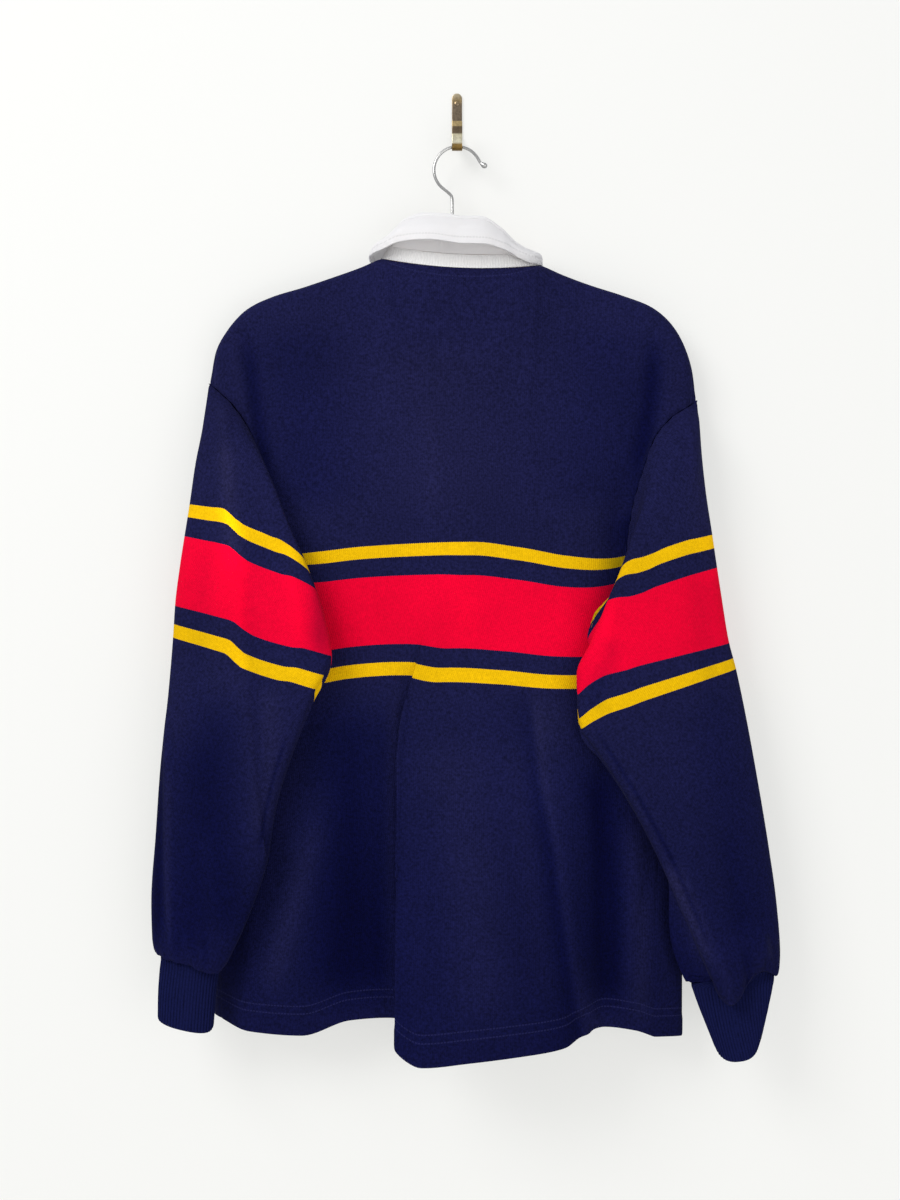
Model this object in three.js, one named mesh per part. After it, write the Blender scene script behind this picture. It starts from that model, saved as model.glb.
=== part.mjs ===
// A striped rugby shirt that hangs by its own wooden hanger from a brass wall hook, back outwards.
// Millimetres. X runs to the right as the back is seen, Y runs towards the wall, and Z runs up.
// The wall is the plane Y = 0, and the origin is the point where the wall hook is fixed to it.
import * as THREE from "three";

// Cloth and seams
const CLOTH = 1.6;
const RIB_CLOTH = 1.5;
const SEAM_GAP = 0.35;
const CENTRE_X = -4;

// Torso: how its cloth is divided, as shares of the way down and of the way across
const ROW_SHARES = [0, 0.008, 0.025, 0.06, 0.11, 0.17, 0.23, 0.29, 0.357, 0.41, 0.445, 0.475,
  0.51, 0.55, 0.6, 0.65, 0.7, 0.75, 0.8, 0.845, 0.89, 0.93, 0.97, 1];
const ARMPIT_ROW = 11;
const SLIT_END_ROW = 7;
const COLUMNS = 26;
const NECK_COLUMNS = [8, 18];
const BACK_NECK_SHARES = [0, 0.04, 0.16, 0.28, 0.39, 0.5, 0.61, 0.72, 0.84, 0.96, 1];
const BACK_NECK_DEPTH = 20;
const BACK_NECK_DIP = 9;
const SLIT_COLUMNS = [12, 14];
const CHEST_SHARE = 0.357;
const CHEST_EDGES = [-217, 207];
const BACK_CHEST_Y = -44;
const BACK_CHEST_BOW = 3;
const BACK_SHOULDER_Y = [-36, -45];
const BACK_SHOULDER_SHARES = [0.24, 0.36];
const FRONT_CHEST_Y = -14;
const FRONT_SHOULDER_Y = -15.5;
const HEM_X_SHARES = [0.05, 0.72];
const HEM_DEPTH_POWER = 1.2;
const EDGE_DRAW = 0.3;
const EDGE_DEPTH_DRAW = 0.1;
const BODY_LENGTH = 750;
const RIDGE_Y = -24;
const RIDGE_ROUNDING = 16;

// Sleeves: shares of the way down, and how many segments run round
const SLEEVE_SHARES = [0, 0.02, 0.05, 0.09, 0.14, 0.2, 0.27, 0.35, 0.43, 0.52, 0.61, 0.7, 0.79,
  0.87, 0.93, 0.97, 1];
const SLEEVE_SIDES = 2 * ARMPIT_ROW;
const ARMHOLE_REACH = 0.34;

// Cuffs and neckband: ribs raised over a plain inside
const CUFF_RIBS_PER_SIDE = 2;
const CUFF_RIB_RAISE = 0.8;
const NECKBAND_HEIGHT = 12;
const NECKBAND_SHARE = 0.45;
const NECKBAND_GAP = 0.55;
const NECKBAND_RIB_PITCH = 3;
const NECKBAND_RIB_RAISE = 0.6;
const CUFF_SHARES = [0, 0.08, 0.5, 1];

// Collar
const NECK_CENTRE_X = 4;
const COLLAR_PARTING = 5;
const COLLAR_FOLD = 6;
const COLLAR_TURN = [[0.15, 0.35], [0.5, 0.5], [0.85, 0.35], [1, 0]];
const FALL_SHARES = [0.3, 0.65, 1];
const FALL_BOW = 3;

// Buttons
const BUTTON_RADIUS = 6.5;
const BUTTON_THICKNESS = 3;
const BUTTON_SHARES = [0.035, 0.14, 0.245];
const BUTTON_SIDES = 20;

// Placket: the columns of the front panel that its strips reach to, and how far down they go
const PLACKET_COLUMNS = [11.9, 12.4, 13, 13.6, 14.1];
const PLACKET_TOP_SHARE = 0.004;
const PLACKET_END_SHARE = 0.298;

// Hanger: a wooden bar just under the shoulder seams, and its wire hook
const HANGER_HALF = 5;
const HANGER_CLEARANCE = 2.4;
const HANGER_PEAK = [-4, -142];
const HANGER_PEAK_SHARES = [0.4, 0.75];
const HANGER_HEIGHT = [36, 18];
const HANGER_ROUNDING = [[0, 0], [0.6, -2.8], [1, -6.5]];
const HANGER_END_STEPS = [[0, -1.5, 1, 0.85], [1.5, -5, 0.7, 0.7], [3.5, -9, 0.3, 0.4]];
const WIRE_RADIUS = 1.5;
const WIRE_SIDES = 8;
const WIRE_STEPS = 40;
const HOOK_CENTRE = [0.4, -71.7];
const HOOK_RADIUS = 22.8;
const HOOK_ARC = [44, 228];
const HOOK_TIP = [[29.1, -68.8], [27.6, -67.9], [25.8, -66.9], [22.6, -64.3], [19.8, -59.6]];
const HOOK_STEM = [[-11.4, -92.2], [-7.4, -96.2], [-5.2, -101], [-4.6, -107], [-4.6, -124]];
const TIP_RADII = [0.9, 2.4, 2.9, 2.3, WIRE_RADIUS];

// Wall hook: a brass strip bent up in front to a lip, and the nail that holds it
const STRIP_THICKNESS = 1.5;
const STRIP = [[0, 9.9, 5], [0, 7.5, 8.5], [0, 4.5, 10], [0, -31, 10], [1.8, -36, 10], [7.3, -41.5, 10],
  [17.3, -49.6, 10], [21.3, -51.9, 10], [24.8, -52.4, 10], [27.9, -50.8, 10], [29.3, -47, 10],
  [29.3, -26, 10]];
const NAIL_RADIUS = 2.6;
const NAIL_HEIGHT = 1.2;

// Rows of numbers under named columns
const table = (columns, rows) => ({ columns, rows });

// Points of the shoulder line from the arm to the neck, one row for each column of cloth
const SHOULDER = table(["leftX", "leftZ", "rightX", "rightZ"], [
  [-241, -280, 233, -296.5],
  [-235, -249, 229, -268],
  [-223, -227, 221, -243],
  [-203, -206, 208, -221],
  [-178, -194, 188, -204],
  [-150, -185.5, 160, -193],
  [-122, -176, 129, -183],
  [-95, -166.5, 102, -173],
  [-73, -158, 80.6, -164.4],
]);

// The front neckline between the two neck points, with the slit between -12 and 20
const FRONT_NECK = table(["x", "y", "z"], [
  [-73, -24, -158],
  [-72, -16.8, -166],
  [-61, -15.4, -203],
  [-38, -15.2, -227],
  [-12, -15, -235],
  [4, -15, -236],
  [20, -15, -235],
  [45, -15.2, -228],
  [69, -15.4, -206],
  [81, -16, -171],
  [80.6, -24, -164.4],
]);

// The armhole seam, by the share of the way down: reach is the distance from the centre line
const ARMHOLE = table(["share", "reach", "z", "backY", "frontY", "frontReach"], [
  [0, 237, -280, -24, -24, 237],
  [0.03, 226, -289, -33, -17, 228],
  [0.06, 212, -302, -38, -15.5, 217],
  [0.104, 195, -328, -42, -15, 205],
  [0.19, 182, -365, -44, -15, 190],
  [0.27, 171, -404, -46, -15, 178],
  [0.357, 166, -446, -47, -15, 172],
  [0.42, 173, -480, -46, -15, 179],
  [0.455, 194, -508, -41, -17, 198],
  [0.475, 218, -525, -29, -29, 218],
]);
const RIGHT_TIP_DROP = 16.5;

// The side seams below the armpits
const SIDE_SEAMS = table(["share", "leftX", "leftY", "leftZ", "rightX", "rightY", "rightZ"], [
  [0.475, -222, -29, -525, 214, -29, -525],
  [0.6, -230, -31, -615, 208, -36, -618],
  [0.72, -234, -32, -701, 197, -47, -706],
  [0.84, -234, -34, -783, 189, -58, -794],
  [1, -228, -37, -893, 187, -64, -904],
]);

// The hem of the back, from its left seam to its right one. The cloth between 0.38 and 0.486 is a
// fold that tucks in under the middle, and 0.53 to 0.73 is the part that stands furthest out.
const BACK_HEM = table(["across", "x", "y", "z"], [
  [0, -228, -37, -893],
  [0.071, -198, -56, -901],
  [0.168, -148, -60, -904],
  [0.258, -102, -58, -890],
  [0.331, -64, -60, -887],
  [0.38, -42, -66, -890],
  [0.428, -40, -86, -896],
  [0.486, -58, -109, -903],
  [0.534, -34, -117, -918],
  [0.622, 11, -120, -913],
  [0.728, 66, -116, -907],
  [0.798, 100, -106, -903],
  [0.848, 119, -88, -896],
  [0.9, 138, -72, -892],
  [0.958, 167, -70, -896],
  [1, 187, -64, -904],
]);

// The hem of the front, which hangs nearly flat and comes round the right side to the seam
const FRONT_HEM = table(["across", "x", "y", "z"], [
  [0, -228, -37, -893],
  [0.035, -236, -23, -892],
  [0.1, -208, -12, -893],
  [0.2, -160, -11, -896],
  [0.3, -112, -22, -895],
  [0.4, -62, -11, -899],
  [0.5, -8, -13, -898],
  [0.6, 44, -24, -897],
  [0.7, 92, -11, -900],
  [0.8, 144, -12, -899],
  [0.88, 192, -15, -899],
  [0.92, 211, -24, -899],
  [0.96, 216, -43, -901],
  [1, 187, -64, -904],
]);

// Height of the row of cloth at the top of the stripes, across the body
const CHEST_ROW = table(["across", "z"], [
  [0, -446],
  [0.3, -437],
  [0.55, -434],
  [0.65, -439],
  [0.76, -446],
  [0.87, -452],
  [1, -456],
]);

// The sleeves, by the share of the way down from the shoulder point. "out" is the outer edge and
// "in" the inner one, near and far are how far the cloth stands from the line between the two.
const SLEEVE_COLUMNS = ["share", "outX", "outY", "outZ", "inX", "inY", "inZ", "near", "far"];
const SLEEVE_LEFT = table(SLEEVE_COLUMNS, [
  [0, -241, -24, -280, -196, -44, -336, 2, 8],
  [0.075, -245, -38, -321, -177, -63, -374, 9, 8],
  [0.145, -252, -41, -360, -161, -70, -413, 12, 7],
  [0.215, -257, -43, -398, -145, -71, -448, 14, 7],
  [0.325, -266, -45, -459, -124, -74, -509, 16, 7],
  [0.385, -270, -46, -492, -118, -75, -542, 17, 7],
  [0.447, -272, -47, -526, -134, -76, -577, 17, 8],
  [0.54, -276, -48, -576, -151, -76, -622, 18, 9],
  [0.68, -284, -49, -653, -171, -75, -688, 19, 10],
  [0.79, -288, -50, -714, -178, -74, -733, 19, 11],
  [0.9, -292, -51, -777, -196, -72, -787, 18, 12],
  [0.96, -291, -52, -812, -212, -70, -822, 17, 13],
  [0.985, -287, -53, -826, -222, -69, -838, 14, 12],
  [1, -281, -54, -826, -226, -68, -832, 9, 9],
]);
const SLEEVE_RIGHT = table(SLEEVE_COLUMNS, [
  [0, 233, -24, -296.5, 180, -44, -336, 2, 8],
  [0.075, 235, -38, -340, 174, -63, -381, 9, 8],
  [0.145, 239, -41, -384, 164, -70, -419, 12, 7],
  [0.215, 245, -43, -427, 152, -71, -459, 14, 7],
  [0.325, 254, -45, -490, 126, -74, -528, 16, 7],
  [0.385, 260, -46, -528, 112, -75, -561, 17, 7],
  [0.447, 267, -47, -556, 114, -76, -604, 17, 8],
  [0.54, 276, -48, -600, 132, -76, -633, 18, 9],
  [0.68, 288, -49, -667, 161, -75, -679, 19, 10],
  [0.79, 298, -50, -729, 191, -74, -735, 19, 11],
  [0.9, 305, -51, -782, 215, -72, -790, 18, 12],
  [0.96, 308, -52, -825, 233, -70, -833, 17, 13],
  [0.985, 306, -53, -840, 243, -69, -852, 14, 12],
  [1, 300, -54, -840, 246, -68, -846, 9, 9],
]);

// How the cloth of a sleeve turns about its own length: the angle of the seam's last visible point
// and of the underarm, in turns, so that the underarm works its way to the inner edge
const SLEEVE_TURN = table(["share", "seenRow", "underarm", "droop"], [
  [0, 4, 0.775, 0],
  [0.05, 4.2, 0.91, 0],
  [0.2, 5, 0.87, 10],
  [0.3, 6, 0.8, 30],
  [0.45, 7.5, 0.66, 30],
  [0.6, 9, 0.6, 12],
  [1, 9.6, 0.575, 0],
]);

// The cuffs, from the sleeve's end down: the two edges of the flattened tube, its half depth, and how
// far its two sides hang below the line between the edges
const CUFF_COLUMNS = ["share", "outX", "outZ", "inX", "inZ", "midY", "half", "nearDrop", "farDrop"];
const CUFF_LEFT = table(CUFF_COLUMNS, [
  [0.08, -281, -831, -226, -837, -61, 10, 0, 0],
  [0.5, -282, -858, -229, -864, -66, 12, 2, 1],
  [1, -281, -882, -231, -893, -72, 13, 5, 3],
]);
const CUFF_RIGHT = table(CUFF_COLUMNS, [
  [0.08, 301, -845, 236, -849, -61, 10, 0, 0],
  [0.5, 296, -868, 229, -873, -66, 12, 12, 6],
  [1, 289, -892, 236, -895, -72, 13, 23, 9],
]);

// The collar round the neck, from the front end to the middle of the back: how far the stand rises
// and leans in, and where the edge of the fall lies from the fold: outwards, down, and along the
// neckline towards the back, which spreads the two points of the collar
const COLLAR_COLUMNS = [
  "round", "leftRise", "rightRise", "lean", "leftOut", "rightOut", "leftDrop", "rightDrop", "spread",
];
const COLLAR = table(COLLAR_COLUMNS, [
  [0, 28, 28, 0, 2, 2, 66, 66, 26],
  [0.15, 28, 28, 2, 3, 3, 58, 58, 20],
  [0.4, 24, 23, 5, 6, 5, 34, 33, 8],
  [0.58, 11, 9, 7, 4, -1, 20, 11, 2],
  [0.65, 20, 11, 8, 7, 0, 19, 12, 0],
  [0.72, 37, 24, 8, 12, 5, 23, 15, 0],
  [0.8, 43, 39, 7, 18, 14, 26, 23, 0],
  [0.9, 45, 44, 4, 22, 22, 26, 26, 0],
  [1, 44, 44, 3, 23, 23, 26, 26, 0],
]);

// Blends
const mix = (a, b, share) => a + (b - a) * share;
const clamp = (value) => Math.min(1, Math.max(0, value));
const smooth = (from, to, value) => {
  const share = clamp((value - from) / (to - from));
  return share * share * (3 - 2 * share);
};
const mixPoints = (a, b, share) => new THREE.Vector3().lerpVectors(a, b, share);

// A smooth curve through rising places that never overshoots its values
function smoothCurve(places, values) {
  const steps = places.slice(1).map((place, i) => place - places[i]);
  const slopes = steps.map((step, i) => (values[i + 1] - values[i]) / step);
  const tangents = places.map((_, i) => {
    const before = slopes[Math.max(0, i - 1)];
    const after = slopes[Math.min(slopes.length - 1, i)];
    return before * after <= 0 ? 0 : (2 * before * after) / (before + after);
  });
  return (place) => {
    let i = steps.findIndex((_, k) => place <= places[k + 1]);
    if (i < 0) i = steps.length - 1;
    const t = clamp((place - places[i]) / steps[i]);
    const bend = t * t * (3 - 2 * t);
    const enter = t * (1 - t) * (1 - t) * steps[i] * tangents[i];
    const leave = t * t * (t - 1) * steps[i] * tangents[i + 1];
    return mix(values[i], values[i + 1], bend) + enter + leave;
  };
}

// Smooth curves over a table's first column, one for each other column
function curvesOf({ columns, rows }) {
  const places = rows.map((row) => row[0]);
  const curves = {};
  columns.slice(1).forEach((column, k) => {
    curves[column] = smoothCurve(places, rows.map((row) => row[k + 1]));
  });
  return curves;
}

// A table's rows as objects with the columns' names
const records = ({ columns, rows }) =>
  rows.map((row) => Object.fromEntries(columns.map((column, k) => [column, row[k]])));

const armhole = curvesOf(ARMHOLE);
const sideSeams = curvesOf(SIDE_SEAMS);
const backHem = curvesOf(BACK_HEM);
const frontHem = curvesOf(FRONT_HEM);
const chestRow = curvesOf(CHEST_ROW);
const shoulder = records(SHOULDER);
const frontNeck = records(FRONT_NECK);

// The edge of a body panel: the armhole seam as far as the armpit, and then the side seam
function panelEdge(side, face, share) {
  if (share > ROW_SHARES[ARMPIT_ROW]) {
    return new THREE.Vector3(
      sideSeams[`${side}X`](share),
      sideSeams[`${side}Y`](share),
      sideSeams[`${side}Z`](share),
    );
  }
  const sign = side === "left" ? -1 : 1;
  const reach = face === "back" ? armhole.reach(share) : armhole.frontReach(share);
  const tipDrop = side === "left" ? 0 : RIGHT_TIP_DROP * (1 - smooth(0, 0.15, share));
  return new THREE.Vector3(
    CENTRE_X + sign * reach,
    face === "back" ? armhole.backY(share) : armhole.frontY(share),
    armhole.z(share) - tipDrop,
  );
}

// The top of a body panel: the shoulder seams and the neckline between them
function panelTop(face, column) {
  if (!Number.isInteger(column)) {
    const before = Math.floor(column);
    return mixPoints(panelTop(face, before), panelTop(face, before + 1), column - before);
  }
  const [first, last] = NECK_COLUMNS;
  if (column <= first) {
    const { leftX, leftZ } = shoulder[column];
    return new THREE.Vector3(leftX, RIDGE_Y, leftZ);
  }
  if (column >= last) {
    const { rightX, rightZ } = shoulder[COLUMNS - column];
    return new THREE.Vector3(rightX, RIDGE_Y, rightZ);
  }
  if (face === "front") {
    const { x, y, z } = frontNeck[column - first];
    return new THREE.Vector3(x, y, z);
  }
  const share = BACK_NECK_SHARES[column - first];
  const bow = Math.sin(Math.PI * share);
  return new THREE.Vector3(
    mix(shoulder[first].leftX, shoulder[first].rightX, share),
    RIDGE_Y - BACK_NECK_DEPTH * bow ** 0.35,
    mix(shoulder[first].leftZ, shoulder[first].rightZ, share) - BACK_NECK_DIP * bow ** 0.7,
  );
}

// A point of a body panel before its edges are fitted: down from the top to the chest row, and from
// there to the hem, whose folds come in with the share of the way down
function panelBase(face, column, share) {
  const across = column / COLUMNS;
  const fromSide = Math.min(across, 1 - across);
  const top = panelTop(face, column);
  const isBack = face === "back";
  const hem = isBack ? backHem : frontHem;
  const chestX = mix(...CHEST_EDGES, across);
  const chestY = isBack ? BACK_CHEST_Y - BACK_CHEST_BOW * Math.sin(Math.PI * across) : FRONT_CHEST_Y;
  const shoulderY = isBack
    ? mix(...BACK_SHOULDER_Y, smooth(...BACK_SHOULDER_SHARES, fromSide))
    : FRONT_SHOULDER_Y;
  const chestZ = chestRow.z(across);
  if (share <= CHEST_SHARE) {
    const down = share / CHEST_SHARE;
    const round = 1 - clamp(share * BODY_LENGTH / RIDGE_ROUNDING);
    const faceY = mix(shoulderY, chestY, down);
    return new THREE.Vector3(
      mix(top.x, chestX, smooth(0, 1, down)),
      mix(top.y, faceY, Math.sqrt(1 - round * round)),
      mix(top.z, chestZ, down),
    );
  }
  const down = (share - CHEST_SHARE) / (1 - CHEST_SHARE);
  return new THREE.Vector3(
    mix(chestX, hem.x(across), smooth(...HEM_X_SHARES, down)),
    mix(chestY, hem.y(across), down ** HEM_DEPTH_POWER),
    mix(chestZ, hem.z(across), down),
  );
}

// A point of a body panel, with its two edges drawn to the armhole and side seams
function panelPoint(face, column, share) {
  if (share === 0) return panelTop(face, column);
  const point = panelBase(face, column, share);
  const across = column / COLUMNS;
  for (const [side, edgeColumn, distance] of [["left", 0, across], ["right", COLUMNS, 1 - across]]) {
    const base = panelBase(face, edgeColumn, share);
    const edge = panelEdge(side, face, share);
    const wide = clamp(1 - distance / EDGE_DRAW) ** 2;
    const narrow = clamp(1 - distance / EDGE_DEPTH_DRAW) ** 2;
    point.x += (edge.x - base.x) * wide;
    point.y += (edge.y - base.y) * narrow;
    point.z += (edge.z - base.z) * wide;
  }
  return point;
}

// A sheet of cloth: a grid of points on its outer side, rows down and columns across. "closed" joins
// the last column to the first, "turned" faces it the other way, and "hole" leaves cells out.
function sheet(rows, { closed = false, turned = false, thickness = CLOTH, hole = () => false } = {}) {
  const width = rows[0].length;
  const quads = [];
  for (let r = 0; r + 1 < rows.length; r++) {
    for (let c = 0; c < (closed ? width : width - 1); c++) {
      if (hole(r, c)) continue;
      const right = (c + 1) % width;
      const quad = [r * width + c, (r + 1) * width + c, (r + 1) * width + right, r * width + right];
      quads.push(turned ? quad.reverse() : quad);
    }
  }
  const edges = new Set(quads.flatMap((quad) => quad.map((a, k) => `${a},${quad[(k + 1) % 4]}`)));
  const rim = [...edges]
    .map((edge) => edge.split(",").map(Number))
    .filter(([a, b]) => !edges.has(`${b},${a}`));
  const cloth = { points: rows.flat(), width, quads, rim, thickness };
  cloth.normals = cloth.points.map(() => new THREE.Vector3());
  for (const quad of quads) {
    const [a, b, c, d] = quad.map((index) => cloth.points[index]);
    const normal = c.clone().sub(a).cross(d.clone().sub(b)).normalize();
    for (const index of quad) cloth.normals[index].add(normal);
  }
  cloth.normals.forEach((normal) => normal.normalize());
  return cloth;
}

// For each point on a sheet's rim, the way into the cloth, square to the rim
function waysIn(cloth) {
  const rimPoints = new Map();
  for (const [a, b] of cloth.rim) {
    for (const [index, tangentEnd] of [[a, b], [b, a]]) {
      if (!rimPoints.has(index)) rimPoints.set(index, { ends: [], middles: [] });
      rimPoints.get(index).ends.push(tangentEnd);
    }
  }
  for (const quad of cloth.quads) {
    const middle = new THREE.Vector3();
    for (const index of quad) middle.addScaledVector(cloth.points[index], 0.25);
    for (const index of quad) rimPoints.get(index)?.middles.push(middle);
  }
  return rimPoints;
}

// Sewn edges: where sheets share points of their rims they also share the cloth's direction there,
// so that their cut edges are parallel, and each sheet draws back by half of the gap
function sew(sheets) {
  const seams = new Map();
  for (const cloth of sheets) {
    cloth.waysIn = waysIn(cloth);
    for (const index of cloth.waysIn.keys()) {
      const key = cloth.points[index].toArray().map((value) => value.toFixed(3)).join();
      if (!seams.has(key)) seams.set(key, []);
      seams.get(key).push({ cloth, index });
    }
  }
  const moves = [];
  for (const shared of [...seams.values()].filter((list) => list.length > 1)) {
    const normal = new THREE.Vector3();
    for (const { cloth, index } of shared) normal.add(cloth.normals[index]);
    normal.normalize();
    for (const { cloth, index } of shared) {
      const { ends, middles } = cloth.waysIn.get(index);
      const point = cloth.points[index];
      const inward = new THREE.Vector3();
      for (const middle of middles) inward.addScaledVector(middle.clone().sub(point).normalize(), 1);
      inward.addScaledVector(normal, -inward.dot(normal));
      const corner = middles.length === 1;
      if (!corner) {
        const along = cloth.points[ends[0]].clone().sub(cloth.points[ends[1]]);
        const square = along.addScaledVector(normal, -along.dot(normal)).cross(normal).normalize();
        inward.copy(square.multiplyScalar(Math.sign(square.dot(inward))));
      }
      inward.normalize().multiplyScalar((corner ? Math.SQRT2 : 1) * SEAM_GAP / 2);
      moves.push({ cloth, index, normal, inward });
    }
  }
  for (const { cloth, index, normal, inward } of moves) {
    cloth.normals[index] = normal.clone();
    cloth.points[index] = cloth.points[index].clone().add(inward);
  }
}

// The points of a sheet's inner side
const innerPoints = (cloth) =>
  cloth.points.map((point, i) => point.clone().addScaledVector(cloth.normals[i], -cloth.thickness));

// A closed solid between an outer and an inner side that share one layout of quads and rim
function wall({ quads, rim }, outer, inner) {
  const offset = outer.length;
  const triangles = [];
  for (const [a, b, c, d] of quads) {
    triangles.push(a, b, c, a, c, d);
    triangles.push(...[a, c, b, a, d, c].map((index) => index + offset));
  }
  for (const [a, b] of rim) triangles.push(b, a, a + offset, b, a + offset, b + offset);
  return solidOf([...outer, ...inner], triangles);
}

const clothSolid = (cloth) => wall(cloth, cloth.points, innerPoints(cloth));

// A geometry of the points that the triangles use
function solidOf(points, triangles) {
  const used = new Map();
  const positions = [];
  const index = triangles.map((point) => {
    if (!used.has(point)) {
      used.set(point, used.size);
      positions.push(...points[point].toArray());
    }
    return used.get(point);
  });
  const geometry = new THREE.BufferGeometry();
  geometry.setAttribute("position", new THREE.Float32BufferAttribute(positions, 3));
  geometry.setIndex(index);
  geometry.computeVertexNormals();
  return geometry;
}

// A solid through closed sections of the same number of points, with flat ends
function loft(sections) {
  const sides = sections[0].length;
  const triangles = [];
  for (let s = 0; s + 1 < sections.length; s++) {
    for (let k = 0; k < sides; k++) {
      const a = s * sides + k;
      const b = s * sides + (k + 1) % sides;
      triangles.push(a, b, b + sides, a, b + sides, a + sides);
    }
  }
  const last = (sections.length - 1) * sides;
  for (let k = 1; k + 1 < sides; k++) {
    triangles.push(0, k + 1, k, last, last + k, last + k + 1);
  }
  const points = sections.flat();
  return solidOf(points, signedVolume(points, triangles) > 0 ? triangles : triangles.reverse());
}

// The volume inside a closed set of triangles, negative where they face inwards
function signedVolume(points, triangles) {
  let volume = 0;
  for (let i = 0; i < triangles.length; i += 3) {
    const [a, b, c] = triangles.slice(i, i + 3).map((index) => points[index]);
    volume += a.clone().cross(b).dot(c) / 6;
  }
  return volume;
}

// Points that divide each side of an open or closed outline into equal parts
function divided(points, parts, closed) {
  const result = [];
  const sides = closed ? points.length : points.length - 1;
  for (let i = 0; i < sides; i++) {
    for (let k = 0; k < parts[i % parts.length]; k++) {
      result.push(mixPoints(points[i], points[(i + 1) % points.length], k / parts[i % parts.length]));
    }
  }
  if (!closed) result.push(points.at(-1).clone());
  return result;
}

// Body panels
function panel(face) {
  const rows = ROW_SHARES.map((share) =>
    Array.from({ length: COLUMNS + 1 }, (_, column) => panelPoint(face, column, share)));
  const inSlit = (r, c) => r < SLIT_END_ROW && c >= SLIT_COLUMNS[0] && c < SLIT_COLUMNS[1];
  const slit = face === "front" ? { turned: true, hole: inSlit } : {};
  return sheet(rows, slit);
}

// Where a point round a sleeve lies, in turns from the outer edge towards the viewer
function sleeveTurns(side, share) {
  const { seenRow, underarm } = SLEEVE_CURVES.turn;
  const seen = seenRow(share);
  if (side <= seen) return mix(0, 0.5, side / seen);
  if (side <= ARMPIT_ROW) return mix(0.5, underarm(share), (side - seen) / (ARMPIT_ROW - seen));
  return mix(underarm(share), 1, (side - ARMPIT_ROW) / (SLEEVE_SIDES - ARMPIT_ROW));
}

const SLEEVE_CURVES = {
  left: curvesOf(SLEEVE_LEFT),
  right: curvesOf(SLEEVE_RIGHT),
  turn: curvesOf(SLEEVE_TURN),
};

// A softly squared oval between two edges of a flattened tube: the share of the way from the outer
// edge to the inner one, and the share of the half depth, positive on the viewer's side
function flatTube(turns) {
  const angle = 2 * Math.PI * turns;
  const across = Math.sign(Math.cos(angle)) * Math.abs(Math.cos(angle)) ** 0.8;
  const depth = Math.sign(Math.sin(angle)) * Math.abs(Math.sin(angle)) ** 0.75;
  return { across: (1 - across) / 2, depth: Math.abs(depth) < 1e-9 ? 0 : depth };
}

function sleeveRingPoint(side, share, turns) {
  const edge = SLEEVE_CURVES[side];
  const { across, depth } = flatTube(turns);
  const stand = depth > 0 ? edge.near(share) : edge.far(share);
  const droop = depth > 0 ? 0 : SLEEVE_CURVES.turn.droop(share) * depth;
  return new THREE.Vector3(
    mix(edge.outX(share), edge.inX(share), across),
    mix(edge.outY(share), edge.inY(share), across) - stand * depth,
    mix(edge.outZ(share), edge.inZ(share), across) + droop,
  );
}

// A sleeve leaves the armhole seam, whose points it shares, and becomes a hanging tube
function sleeve(side) {
  const seam = Array.from({ length: SLEEVE_SIDES }, (_, k) => {
    const face = k <= ARMPIT_ROW ? "back" : "front";
    const row = k <= ARMPIT_ROW ? k : SLEEVE_SIDES - k;
    return panelPoint(face, side === "left" ? 0 : COLUMNS, ROW_SHARES[row]);
  });
  const rows = SLEEVE_SHARES.map((share) => seam.map((point, k) => {
    const start = sleeveRingPoint(side, 0, sleeveTurns(k, 0));
    const ring = sleeveRingPoint(side, share, sleeveTurns(k, share));
    const hold = 1 - smooth(0, ARMHOLE_REACH, share);
    return ring.addScaledVector(point.clone().sub(start), hold);
  }));
  return sheet(rows, { closed: true, turned: side === "right" });
}

// Cuffs: a rib knit tube that continues from the sleeve's end
function cuff(side, sleeveCloth) {
  const last = sleeveCloth.points.length - SLEEVE_SIDES;
  const parts = [2 * CUFF_RIBS_PER_SIDE];
  const below = new THREE.Vector3(0, 0, -SEAM_GAP);
  const topOf = (points) => divided(points.slice(last), parts, true).map((point) => point.add(below));
  const topOuter = topOf(sleeveCloth.points);
  const topInner = topOf(innerPoints(sleeveCloth));
  const edge = curvesOf(side === "left" ? CUFF_LEFT : CUFF_RIGHT);
  const rings = CUFF_SHARES.slice(1).map((share) => topOuter.map((_, k) => {
    const before = Math.floor(k / parts[0]);
    const part = (k % parts[0]) / parts[0];
    const turns = mix(sleeveTurns(before, 1), sleeveTurns(before + 1, 1), part);
    const { across, depth } = flatTube(turns);
    const drop = depth > 0 ? edge.nearDrop(share) * depth : -edge.farDrop(share) * depth;
    return new THREE.Vector3(
      mix(edge.outX(share), edge.inX(share), across),
      edge.midY(share) - edge.half(share) * depth,
      mix(edge.outZ(share), edge.inZ(share), across) - drop,
    );
  }));
  const cloth = sheet([topOuter, ...rings], { closed: true, turned: side === "right", thickness: RIB_CLOTH });
  const inner = [...topInner, ...innerPoints(cloth).slice(topInner.length)];
  const outer = cloth.points.map((point, i) => {
    const raise = i >= topOuter.length && i % 2 === 0 ? CUFF_RIB_RAISE : 0;
    return point.clone().addScaledVector(cloth.normals[i], raise);
  });
  return wall(cloth, outer, inner);
}

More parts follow.
